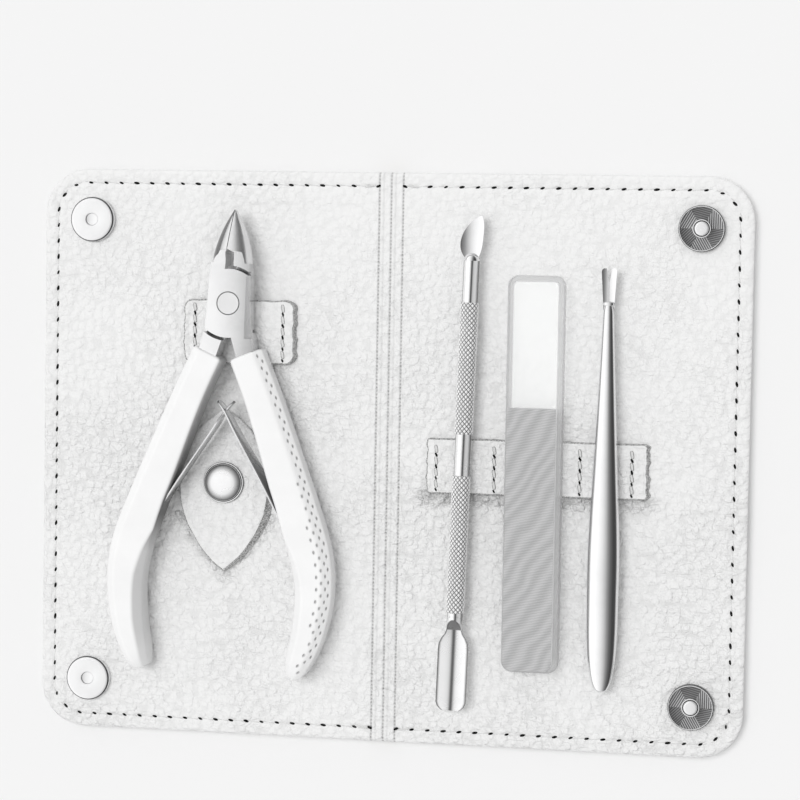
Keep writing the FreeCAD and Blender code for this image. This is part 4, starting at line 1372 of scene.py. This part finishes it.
def dimple_depth(along, across):
    """How deep the dimples lie, from zero to one, at a distance along the grip and across it."""
    pitch = bpy.context.scene.nail_metal.dimple_pitch
    deepest = 0.0
    for row, (place, start, end) in enumerate(DIMPLE_ROWS):
        shifted = along / pitch - 0.5 * (row % 2)
        nearest = round(shifted)
        spot = (nearest + 0.5 * (row % 2)) * pitch / GRIP_LENGTH
        if start <= spot <= end:
            off_along = (shifted - nearest) * pitch / DIMPLE_LENGTH
            off_across = (across - place * MM) / DIMPLE_WIDTH
            deepest = max(deepest, math.exp(-(off_along ** 2 + off_across ** 2) ** 2))
    return deepest


def share_at(knots, place):
    """A share read off straight lines between knots."""
    for (start, first), (end, last) in zip(knots, knots[1:]):
        if place <= end:
            return first + (last - first) * (place - start) / (end - start)
    return knots[-1][1]


def grip_corners(wide, low, high, inner):
    """Corners of a grip's section: out from its centre line and height."""
    outer = min(GRIP_BEVEL, wide / 2)
    inner = min(inner, wide)
    return ((wide, low), (wide, high - outer), (wide - outer, high),
            (inner - wide, high), (-wide, high - inner), (-wide, low))


GRIP_EDGE_POINTS = (4, 30, 52, 8, 6, 6)
GRIP_ROUND = 0.5 * MM
# The most of an edge's length that its rounded corners may take up
GRIP_ROUND_SHARE = 0.3
DIMPLED_EDGES = (1, 2)
# How far before and after a place its direction is taken, in knots
TANGENT_STEP = 0.05


def grip_section(corners):
    """Points round a section with rounded corners, each with its distance from the outer bevel's start."""
    marks = []
    count = len(corners)
    for index in range(count):
        start = Vector(corners[index])
        end = Vector(corners[(index + 1) % count])
        after = Vector(corners[(index + 2) % count])
        length = (end - start).length
        trim = min(GRIP_ROUND, length * GRIP_ROUND_SHARE)
        first = start + (end - start) * (trim / length)
        last = end - (end - start) * (trim / length)
        steps = GRIP_EDGE_POINTS[index]
        spots = [first.lerp(last, step / steps) for step in range(steps + 1)]
        next_trim = min(GRIP_ROUND, (after - end).length * GRIP_ROUND_SHARE)
        leave = end + (after - end).normalized() * next_trim
        spots += [last.lerp(end, share).lerp(end.lerp(leave, share), share) for share in (0.25, 0.5, 0.75)]
        for spot in spots:
            across = None
            if index in DIMPLED_EDGES:
                across = 0.0 if marks[-1][1] is None else marks[-1][1] + (spot - marks[-1][0]).length
            marks.append((spot, across))
    return marks


def along_handle(knots, steps):
    """Steps along a grip or spring: the shares of each place, its point and the way out from there."""
    last = len(knots) - 1
    for step in range(steps + 1):
        place = last * step / steps
        shares = smooth_at(knots, place)
        near = smooth_at(knots, max(place - TANGENT_STEP, 0))
        far = smooth_at(knots, min(place + TANGENT_STEP, last))
        run = Vector(((far[1] - near[1]) * HANDLE_SPREAD, -(far[0] - near[0]) * HANDLE_REACH, 0)).normalized()
        centre = Vector((shares[1] * HANDLE_SPREAD, -shares[0] * HANDLE_REACH, 0))
        yield shares, centre, Vector((-run.y, run.x, 0))


def grip_mesh(side):
    """Points, faces and painted shade of one grip; side is 1 for the dimpled right-hand one."""
    matrix = nipper_matrix()
    loops = []
    painted_shades = []
    for (along, out, width, foot, tall), centre, normal in along_handle(HANDLE_SHARES, GRIP_STEPS):
        distance = (along - HANDLE_SHARES[0][0]) * HANDLE_REACH
        ending = min(1.0, (GRIP_LENGTH - distance) / GRIP_TIP_ROUND + GRIP_TIP_LEAST,
                     distance / GRIP_MOUTH_ROUND + GRIP_MOUTH_LEAST)
        slim = GRIP_SLIM + (1 - GRIP_SLIM) * math.sqrt(max(0.0, 1 - (1 - ending) ** 2))
        low = GRIP_BASE - foot * GRIP_FOOT
        high = GRIP_BASE + tall * GRIP_HEIGHT
        level = (low + high) / 2
        bevel = GRIP_BEVEL * share_at(INNER_BEVEL, along)
        corners = [(x * slim, level + (z - level) * slim)
                   for x, z in grip_corners(width * GRIP_WIDTH / 2, low, high, bevel)]
        loop = []
        for spot, across in grip_section(corners):
            pit_and_painted_shade = dimple_depth(distance, across) if side > 0 and across is not None else 0.0
            below = (level + (high - level) * slim - spot.y) / INNER_SHADE_EDGE
            inward = max(0.0, min(1.0, below)) if spot.x < 0 else 0.0
            # Painted shade: in the dimples of the right grip, and on the left grip's inner side
            painted_shades.append(DIMPLE_SHADE * pit_and_painted_shade if side > 0 else inward * share_at(INNER_SHADE, along))
            sunk = spot - DIMPLE_AIM * pit_and_painted_shade * DIMPLE_DEPTH
            point = centre + normal * sunk.x
            loop.append(matrix @ Vector((side * point.x, point.y, sunk.y)))
        loops.append(loop)
    return *loops_mesh(loops), painted_shades


def spring_half_width(side, share):
    """Half the width of a spring strip; the left-hand one narrows to a tongue."""
    cut = SPRING_TAPER * share
    if side < 0:
        cut = TONGUE_CUT * min(1.0, max(0.0, (share - TONGUE_START) / TONGUE_SHOULDER))
    tip = max(0.0, (share - SPRING_TIP) / (1 - SPRING_TIP))
    return SPRING_HALF_WIDTH * (1 - cut) * math.sqrt(max(0.02, 1 - tip * tip))


def spring_mesh(side):
    """Points, faces and painted shade of one spring strip."""
    matrix = nipper_matrix()
    loops = []
    painted_shades = []
    for step, (shares, centre, normal) in enumerate(along_handle(SPRING_SHARES, SPRING_STEPS)):
        share = step / SPRING_STEPS
        centre.z = GRIP_BASE + GRIP_HEIGHT / 2
        across = normal * SPRING_HALF_THICKNESS
        wide = spring_half_width(side, share)
        lean = SPRING_LEAN * (1 - share) if side > 0 else 0.0
        top_shade = TIP_SHADE * max(0.0, (share - TIP_SHADE_START) / (1 - TIP_SHADE_START))
        side_shade = ROOT_SHADE * max(ROOT_SHADE_LEAST, 1 - ROOT_SHADE_FALL * share)
        loop = []
        for thick, tall in SPRING_SECTION:
            share_here = SPRING_EDGE_SHARE if abs(tall) == 1 else 1.0
            point = centre + across * thick * share_here + Vector((-lean * tall, 0, tall * wide))
            loop.append(matrix @ Vector((side * point.x, point.y, point.z)))
            painted_shades.append(top_shade if tall == 1 else side_shade)
        loops.append(loop)
    return *loops_mesh(loops), painted_shades


class NAILSET_OT_nipper(bpy.types.Operator):
    """Nipper: polished levers, dimpled grips and crossed springs"""

    bl_idname = "nailset.nipper"
    bl_label = "Nipper"

    def execute(self, context):
        dress(nipper_steel(), "front_lever", "rear_lever")
        dress(rivet_steel(), "pivot_rivet")
        dress(spring_steel(), "front_spring_rivet", "rear_spring_rivet")
        matrix = nipper_matrix()
        for side, name, other in ((1, "front", "rear"), (-1, "rear", "front")):
            points, faces, painted_shades = grip_mesh(side)
            make_piece(name + "_grip_vinyl", points, faces, [grip_vinyl()], "grip_vinyl", "nipper_" + name,
                       [name + "_grip"], sharp=60, painted_shades=painted_shades)
            points, faces, painted_shades = spring_mesh(side)
            spring = make_piece(name + "_spring_strip", points, faces, [spring_steel()], "spring_steel",
                                stands_for=[name + "_spring"], painted_shades=painted_shades)
            root, tip = (matrix @ Vector((side * out * HANDLE_SPREAD, -along * HANDLE_REACH, 0))
                         for along, out in (SPRING_SHARES[0], SPRING_SHARES[-2]))
            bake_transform(spring)
            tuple(root)
        return {"FINISHED"}


# Cuticle pusher
PUSHER_TILT = math.radians(-1.7)
PUSHER_FOOT = Vector((15.9 * MM, -55.5 * MM, 0))
PLAIN_RADIUS = 1.75 * MM
KNURL_RADIUS = 2.08 * MM
PUSHER_AXIS = TOOL_SEAT + KNURL_RADIUS
# Where the zones of the handle meet, and which of them are knurled
HANDLE_STOPS = [stop * MM for stop in (21.0, 21.9, 52.7, 61.8, 91.1, 100.3)]
KNURLED_ZONES = (1, 3)
KNURL_SPACING = 0.11 * MM
PLAIN_SPACING = 1.5 * MM
KNURL_SEGMENTS = 10
# How flat its diamonds are on top, how steep it runs out at its ends, from which radius it counts as knurl,
# and how dark the painted shade in its grooves is
KNURL_FLAT = 1.25
KNURL_RUNOUT = 1.5
KNURL_FROM = 1.02 * PLAIN_RADIUS
KNURL_SHADE = 0.94
KNURL_SHADE_START = 0.6
KNURL_SHADE_RUN = 0.24


def pusher_matrix():
    """From the pusher's own frame, along +Y from the end of its spoon, to its place on the strap."""
    place = PUSHER_FOOT + Vector((0, 0, PUSHER_AXIS))
    return Matrix.Translation(place) @ Matrix.Rotation(PUSHER_TILT, 4, "Z")


def knurl(angle, along, count, depth):
    """The height of a diamond knurl at an angle and a distance along the handle."""
    lead = 2 * math.pi * KNURL_RADIUS
    first = (angle / (2 * math.pi) + along / lead) * count
    second = (angle / (2 * math.pi) - along / lead) * count
    ridge = min(abs((first % 1) - 0.5), abs((second % 1) - 0.5)) * 2
    return depth * (min(1.0, ridge * KNURL_FLAT) - 1)


def handle_loops(start, end, knurled):
    """Rings of one zone of the handle."""
    metal = bpy.context.scene.nail_metal
    rows = max(2, round((end - start) / (KNURL_SPACING if knurled else PLAIN_SPACING)))
    loops = []
    for row in range(rows + 1):
        along = start + (end - start) * row / rows
        near_end = min(along - start, end - along)
        loop = []
        for angle in turns(metal.knurl_count * KNURL_SEGMENTS):
            radius = PLAIN_RADIUS
            if knurled:
                radius = KNURL_RADIUS + knurl(angle, along, metal.knurl_count, metal.knurl_depth)
                radius = min(radius, PLAIN_RADIUS + near_end * KNURL_RUNOUT)
            loop.append(Vector((radius * math.cos(angle), along, radius * math.sin(angle))))
        loops.append(loop)
    return loops


SPOON_END = 18.0 * MM
SPOON_SCOOP = 20.5 * MM
SPOON_OVERLAP = 0.3 * MM
# Along the spoon in millimetres: half width, height of the edges, depth of the dish
SPOON_STATIONS = (
    (0.0, 2.0, 0.3, 0.1),
    (0.35, 2.55, 0.26, 0.16),
    (0.9, 3.05, 0.22, 0.22),
    (1.8, 3.4, 0.2, 0.3),
    (6.0, 3.4, 0.2, 0.34),
    (13.6, 3.4, 0.2, 0.34),
    (15.0, 3.3, 0.2, 0.34),
    (16.2, 2.75, 0.2, 0.34),
    (17.2, 2.0, 0.2, 0.34),
    (18.0, 1.75, 0.2, 0.34),
)
SPOON_THICKNESS = 0.8 * MM
SPOON_COLUMNS = 44
SPOON_ROWS = 60
SCOOP_ROWS = 16
# How thick the spoon's rims are, and the least thickness where the scoop cuts into it
SPOON_RIM_SHARE = 0.35
SPOON_LEAST = 0.02 * MM
SCOOP_EDGE = 0.12
SCOOP_RISE = 0.8
# How dark the painted shade on the scoop's end wall is
SCOOP_SHADE = 0.85
# Painted reflection as dark lines along the pusher: strength, place across and width
BAR_LINES = ((1.0, 0.4 * MM, 0.3 * MM),)
SPOON_LINES = ((0.7, 0.0, 0.5 * MM), (0.3, -0.2 * MM, 1.3 * MM))
# Where across the sides start to darken with painted reflection, how fast, and how dark they and the lines
# get at most
BAR_SIDES = (0.74, 4, 0.95)
SPOON_SIDES = (0.83, 6.5, 0.94)


def painted_reflection(x, across, lines, sides):
    """How dark the painted reflection makes a long polished face at a distance and a share across: its lines
    and its two sides.
    """
    start, gain, darkest = sides
    line = sum(strength * math.exp(-((x - place) / width) ** 2) for strength, place, width in lines)
    return min(darkest, line + gain * max(0.0, abs(across) - start))


def bar_painted_reflection(x):
    """How dark the painted reflection makes the plain bar at a distance across."""
    return painted_reflection(x, x / PLAIN_RADIUS, BAR_LINES, BAR_SIDES)


def spoon_section(along):
    """Half width, height of the edges and depth of the dish at a distance along the spoon."""
    index = max(k for k, station in enumerate(SPOON_STATIONS[:-1]) if station[0] * MM <= along)
    start, end = SPOON_STATIONS[index], SPOON_STATIONS[index + 1]
    share = min(1.0, (along / MM - start[0]) / (end[0] - start[0]))
    return (MM * (a + (b - a) * share) for a, b in zip(start[1:], end[1:]))


def spoon_mesh():
    """Points, faces, painted shade and painted reflection of the spoon, from its end to the scoop in the
    handle's neck.
    """
    loops = []
    painted_shades = []
    rows = [SPOON_END * row / SPOON_ROWS for row in range(SPOON_ROWS + 1)]
    rows += [SPOON_END + (SPOON_SCOOP - SPOON_END) * row / SCOOP_ROWS for row in range(1, SCOOP_ROWS + 1)]
    rows.append(HANDLE_STOPS[0] + SPOON_OVERLAP)
    for along in rows:
        half, edge, dish = spoon_section(along)
        scoop = (along - SPOON_END) / (SPOON_SCOOP - SPOON_END)
        top = []
        bottom = []
        marks = []
        for column in range(SPOON_COLUMNS + 1):
            across = 2 * column / SPOON_COLUMNS - 1
            x = half * across
            bow = 1 - across * across
            hollow = edge - dish * bow
            full = SPOON_RIM_SHARE + (1 - SPOON_RIM_SHARE) * math.sqrt(max(0.0, bow))
            under = hollow - SPOON_THICKNESS * full
            # Painted reflection: dark lines and sides of the spoon
            mark_here = painted_reflection(x, across, SPOON_LINES, SPOON_SIDES)
            if scoop > 0:
                round_top = math.sqrt(max(0.0, PLAIN_RADIUS ** 2 - x * x))
                arch = math.sqrt(max(0.0, 1 - min(1.0, scoop) ** 2))
                inside = max(0.0, min(1.0, (arch - abs(across)) / SCOOP_EDGE))
                risen = hollow + (round_top - hollow) * scoop * SCOOP_RISE
                hollow = round_top + (risen - round_top) * inside
                under = under + (-round_top - under) * min(1.0, scoop * 2)
                # Painted shade on the scoop's end wall, with the bar's painted reflection beyond it
                mark_here = SCOOP_SHADE * inside + bar_painted_reflection(x) * (1 - inside) * min(1.0, scoop)
            top.append(Vector((x, along, hollow)))
            bottom.append(Vector((x, along, min(under, hollow - SPOON_LEAST))))
            marks.append(mark_here)
        loops.append(top + list(reversed(bottom)))
        painted_shades += marks + [0.0] * len(bottom)
    return *loops_mesh(loops), painted_shades


class NAILSET_OT_pusher(bpy.types.Operator):
    """Cuticle pusher: knurled handle, spoon and scraper"""

    bl_idname = "nailset.pusher"
    bl_label = "Cuticle pusher"

    def execute(self, context):
        depth = context.scene.nail_metal.knurl_depth
        matrix = pusher_matrix()
        loops = []
        for index, (start, end) in enumerate(zip(HANDLE_STOPS, HANDLE_STOPS[1:])):
            zone = handle_loops(start, end, index in KNURLED_ZONES)
            loops += zone if not loops else zone[1:]
        points, faces = loops_mesh(loops)
        painted_shades = []
        for point in points:
            radius = math.hypot(point.x, point.z)
            # Painted shade in the knurl's grooves, and painted reflection along the plain bar
            deep = max(0.0, (KNURL_RADIUS - radius) / depth - KNURL_SHADE_START)
            groove = KNURL_SHADE * min(1.0, deep / KNURL_SHADE_RUN)
            painted_shades.append(groove if radius > KNURL_FROM else bar_painted_reflection(point.x))
        make_piece("pusher_handle_bar", *placed((points, faces), matrix), [bright_bar()], "pusher_steel",
                   "pusher", ["pusher_handle"], sharp=45, painted_shades=painted_shades)
        points, faces, painted_shades = spoon_mesh()
        make_piece("pusher_spoon_blade", *placed((points, faces), matrix), [bright_bar()], "pusher_steel",
                   "pusher", ["pusher_spoon"], sharp=50, painted_shades=painted_shades)
        dress(mirror_steel(), "pusher_scraper")
        return {"FINISHED"}


# Glass file
FILE_CORNER = 2.4 * MM
# Inset and height in millimetres of each ring round the file, counted from its underside or its top
FILE_RINGS = ((0.5, 0.0, True), (0.15, 0.12, True), (0.0, 0.5, True), (0.0, -0.55, False),
              (0.2, -0.24, False), (0.6, -0.08, False), (1.2, -0.01, False), (1.4, 0.0, False))
# The bands between those rings that are ground, and those of the grey rim, a painted reflection
FILE_GROUND = (0, 1, 2, 3, 6)
FILE_RIM = (4, 5)
FILE_CLEAR = 29.2 * MM
FILE_MARGIN = 0.35 * MM
FILE_RIGHT_MARGIN = 1.5 * MM
ETCHED_LIFTS = (0.01 * MM, 0.05 * MM)


class NAILSET_OT_file(bpy.types.Operator):
    """Glass file with a clear handle and an etched face"""

    bl_idname = "nailset.file"
    bl_label = "Glass file"

    def execute(self, context):
        low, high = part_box("glass_file")
        loops = [[Vector((p.x, p.y, (low.z if below else high.z) + height * MM))
                  for p in rounded_outline(low, high, FILE_CORNER, inset * MM)]
                 for inset, height, below in FILE_RINGS]
        points, faces = loops_mesh(loops)
        bands = [index // len(loops[0]) for index in range(len(faces))]
        zones = [1 if band in FILE_GROUND else 2 if band in FILE_RIM else 0 for band in bands]
        make_piece("file_glass_body", points, faces, [clear_glass(), ground_glass(), rim_glass()],
                   "file_glass", "file", ["glass_file"], zones=zones)
        cut = high.y - FILE_CLEAR
        middle_x = (low.x + high.x) / 2
        face = [p for p in rounded_outline(low, high, FILE_CORNER, FILE_MARGIN) if p.y < cut]
        face.sort(key=lambda p: math.atan2(p.y - cut, p.x - middle_x))
        outline = [Vector((low.x + FILE_MARGIN, cut, 0))] + face + [Vector((high.x - FILE_MARGIN, cut, 0))]
        narrow = (high.x - FILE_RIGHT_MARGIN - middle_x) / (high.x - FILE_MARGIN - middle_x)
        for p in outline:
            p.x = middle_x + (p.x - middle_x) * (narrow if p.x > middle_x else 1)
        etched = [[Vector((p.x, p.y, high.z + lift)) for p in outline] for lift in ETCHED_LIFTS]
        make_piece("file_etched_face", *loops_mesh(etched), [etched_glass()], "file_glass", "file")
        return {"FINISHED"}


# Cuticle fork
FORK_LENGTH = 84.6 * MM
FORK_WIDTH = 7.1 * MM
FORK_HEIGHT = 4.1 * MM
FORK_FOOT = Vector((49.4 * MM, -49.5 * MM, TOOL_SEAT + FORK_HEIGHT / 2))
FORK_STEPS = 160
FORK_SEGMENTS = 64
# Along the handle, width and height, as shares
FORK_SHARES = (
    (-0.004, 0.14, 0.14),
    (0.004, 0.41, 0.37),
    (0.030, 0.66, 0.58),
    (0.080, 0.86, 0.78),
    (0.150, 0.96, 0.91),
    (0.240, 0.99, 0.98),
    (0.340, 1.00, 1.00),
    (0.440, 0.93, 0.95),
    (0.560, 0.79, 0.85),
    (0.700, 0.63, 0.73),
    (0.840, 0.48, 0.60),
    (0.950, 0.37, 0.51),
    (0.985, 0.33, 0.46),
    (0.997, 0.29, 0.40),
    (1.006, 0.22, 0.28),
    (1.011, 0.10, 0.12),
)
PRONG_LENGTH = 8.5 * MM
PRONG_ROOT = 2.0 * MM
PRONG_TIP = 1.72 * MM
PRONG_NECK = 1.2 * MM
PRONG_THICKNESS = 0.6 * MM
PRONG_THINNING = 0.4
PRONG_WALL = 0.35 * MM
PRONG_SINK = 0.2 * MM
PRONG_ROUND = 0.9 * MM
PRONG_ROUND_IN = 0.5 * MM
SLIT_HALF = 0.07 * MM
NOTCH_HALF = 0.6 * MM
NOTCH_DEPTH = 3.0 * MM
PRONG_STEPS = 44
PRONG_COLUMNS = 10
# The step between handle and prongs: how far it lies along and up, and its half sizes
STEP_PLACE = Vector((0, FORK_LENGTH + 0.7 * MM, 0.25 * MM))
STEP_SIZE = (1.15 * MM, 0.6 * MM, 0.5 * MM)


def fork_prong(side):
    """One prong: half of a dished blade beside the slit, opening into the notch at its tip."""
    loops = []
    for step in range(PRONG_STEPS + 1):
        along = -PRONG_ROOT + (PRONG_LENGTH + PRONG_ROOT) * step / PRONG_STEPS
        share = max(0.0, along / PRONG_LENGTH)
        end = max(0.0, (along - PRONG_LENGTH + PRONG_ROUND) / PRONG_ROUND)
        outer = PRONG_NECK + (PRONG_TIP - PRONG_NECK) * share
        outer -= PRONG_ROUND_IN * (1 - math.sqrt(max(0.0, 1 - end * end)))
        opening = max(0.0, (along - PRONG_LENGTH + NOTCH_DEPTH) / NOTCH_DEPTH)
        inner = SLIT_HALF + (NOTCH_HALF - SLIT_HALF) * opening
        thin = Vector((0, 0, PRONG_THICKNESS * (1 - PRONG_THINNING * share)))
        top = []
        for column in range(PRONG_COLUMNS + 1):
            x = inner + (outer - inner) * column / PRONG_COLUMNS
            rise = PRONG_WALL * (x / PRONG_TIP) ** 2 - PRONG_SINK
            top.append(FORK_FOOT + Vector((side * x, FORK_LENGTH + along, rise)))
        loops.append(top + [point - thin for point in reversed(top)])
    return loops_mesh(loops)


class NAILSET_OT_fork(bpy.types.Operator):
    """Cuticle fork: drop-shaped handle and two prongs"""

    bl_idname = "nailset.fork"
    bl_label = "Cuticle fork"

    def execute(self, context):
        loops = []
        for step in range(FORK_STEPS + 1):
            along, across, through = smooth_at(FORK_SHARES, (len(FORK_SHARES) - 1) * step / FORK_STEPS)
            loops.append([FORK_FOOT + Vector((across * FORK_WIDTH / 2 * math.cos(angle), along * FORK_LENGTH,
                                              through * FORK_HEIGHT / 2 * math.sin(angle)))
                          for angle in turns(FORK_SEGMENTS)])
        neck_step = bead(FORK_FOOT + STEP_PLACE, Vector((1, 0, 0)), Vector((0, 0, 1)), *STEP_SIZE, rings=15,
                         segments=20)
        parts = [loops_mesh(loops), fork_prong(1), fork_prong(-1), neck_step]
        make_piece("fork_blade_and_handle", *join(parts), [mirror_steel()], "fork_steel", "fork",
                   ["cuticle_fork"])
        return {"FINISHED"}


# Stage
CAMERA_EYE = Vector((111.414, 47.585, 573.376)) * MM
CAMERA_LOOK = Vector((-0.18692, -0.05891, -0.98061))
CAMERA_UP = Vector((-0.02780, 0.99812, -0.05466))
KEY_FROM = Vector((-0.28, 0.18, 0.943))
KEY_ANGLE = math.radians(32)
# How bright the sky is from far left to far right
SKY_STOPS = ((-1.0, 0.5), (-0.97, 0.8), (-0.9, 0.98), (-0.55, 0.95), (-0.3, 0.84), (-0.1, 0.70), (0.1, 0.50),
             (0.3, 0.26), (0.5, 0.12), (0.75, 0.05), (0.95, 0.05), (1.0, 0.08))
SKY_EVEN = (0.495, 0.495, 0.495, 1.0)
HORIZON = (0.72, 0.72, 0.72, 1.0)
MIRRORED_HORIZON = (0.28, 0.28, 0.28, 1.0)
FLOOR_HALF = 3.0
FLOOR_LEVEL = -0.25 * MM


def facing(eye, look, up):
    """A camera or lamp matrix from its place, its view and its upward direction."""
    look = look.normalized()
    right = look.cross(up).normalized()
    up = right.cross(look)
    matrix = Matrix((right, up, -look)).transposed().to_4x4()
    matrix.translation = eye
    return matrix


def studio_sky(strength):
    """An even sky, pale at its horizon, in which metal mirrors a bright left and a dark right side."""
    world = bpy.data.worlds.new("studio_sky")
    world.use_nodes = True
    tree = Tree(world.node_tree)
    background = world.node_tree.nodes["Background"]
    parts = tree.split(tree.add("TexCoord").outputs["Generated"])
    ramp = tree.add("ValToRGB", {"Fac": tree.sum("ADD", tree.sum("MULTIPLY", parts["X"], 0.5), 0.5)})
    stops = ramp.color_ramp.elements
    for place, grey in SKY_STOPS[1:-1]:
        stops.new(0.5 + place / 2)
    for stop, (place, grey) in zip(stops, SKY_STOPS):
        stop.position = 0.5 + place / 2
        stop.color = (grey, grey, grey, 1)
    level = tree.span(parts["Z"], 0.1, 0.32, 1.0, 0.0)
    mirrored = tree.add("LightPath").outputs["Is Glossy Ray"]
    above = tree.blend(mirrored, SKY_EVEN, ramp.outputs["Color"])
    around = tree.blend(mirrored, HORIZON, MIRRORED_HORIZON)
    tree.fill(background, {"Color": tree.blend(level, above, around), "Strength": strength})
    return world


class NAILSET_OT_stage(bpy.types.Operator):
    """Camera, floor, lamp and sky"""

    bl_idname = "nailset.stage"
    bl_label = "Stage"

    def execute(self, context):
        settings = context.scene.nail_stage
        camera = bpy.data.cameras.new("camera")
        camera.lens = settings.lens
        camera.clip_start = 0.01
        eye = bpy.data.objects.new("camera", camera)
        eye.matrix_world = facing(CAMERA_EYE, CAMERA_LOOK, CAMERA_UP)
        context.scene.collection.objects.link(eye)
        context.scene.camera = eye
        lamp = bpy.data.lights.new("key_lamp", "SUN")
        lamp.energy = settings.key
        lamp.angle = KEY_ANGLE
        key = bpy.data.objects.new("key_lamp", lamp)
        key.matrix_world = facing(KEY_FROM, -KEY_FROM, Vector((0, 1, 0)))
        key.visible_glossy = False
        context.scene.collection.objects.link(key)
        mesh = bpy.data.meshes.new("floor")
        corners = [(x * FLOOR_HALF, y * FLOOR_HALF, FLOOR_LEVEL)
                   for x, y in ((-1, -1), (1, -1), (1, 1), (-1, 1))]
        mesh.from_pydata(corners, [], [(0, 1, 2, 3)])
        floor = bpy.data.objects.new("floor", mesh)
        context.scene.collection.objects.link(floor)
        material, tree, shader, place = new_material("pale_floor")
        tree.fill(shader, {"Base Color": settings.floor, "Roughness": 0.9, "Specular IOR Level": 0.1})
        mesh.materials.append(material)
        context.scene.world = studio_sky(settings.sky)
        context.scene.view_settings.view_transform = "Standard"
        return {"FINISHED"}


class NAILSET_PT_panel(bpy.types.Panel):
    """Lists the set's sizes and the steps that build it"""

    bl_idname = "NAILSET_PT_panel"
    bl_label = "Nail care set"
    bl_space_type = "VIEW_3D"
    bl_region_type = "UI"
    bl_category = "Nail set"

    def draw(self, context):
        for settings in (context.scene.nail_case, context.scene.nail_metal, context.scene.nail_stage):
            for name in settings.__annotations__:
                self.layout.prop(settings, name)
        for step in STEPS:
            self.layout.operator(step.bl_idname)


STEPS = (NAILSET_OT_stage, NAILSET_OT_covers, NAILSET_OT_spine, NAILSET_OT_snaps, NAILSET_OT_straps,
         NAILSET_OT_tab, NAILSET_OT_nipper, NAILSET_OT_pusher, NAILSET_OT_file, NAILSET_OT_fork)
GROUPS = (("nail_case", CaseSettings), ("nail_metal", MetalSettings), ("nail_stage", StageSettings))
CLASSES = tuple(group for name, group in GROUPS) + STEPS + (NAILSET_PT_panel,)


def register():
    """Adds the settings, the steps and the panel."""
    for made in CLASSES:
        bpy.utils.register_class(made)
    for name, group in GROUPS:
        setattr(bpy.types.Scene, name, PointerProperty(type=group))


def unregister():
    """Takes them away again."""
    for name, group in GROUPS:
        delattr(bpy.types.Scene, name)
    for made in reversed(CLASSES):
        bpy.utils.unregister_class(made)


def main():
    """Builds every piece."""
    register()
    bpy.ops.nailset.stage()
    bpy.ops.nailset.covers()
    bpy.ops.nailset.spine()
    bpy.ops.nailset.snaps()
    bpy.ops.nailset.straps()
    bpy.ops.nailset.tab()
    bpy.ops.nailset.nipper()
    bpy.ops.nailset.pusher()
    bpy.ops.nailset.file()
    bpy.ops.nailset.fork()


if __name__ == "__main__":
    main()
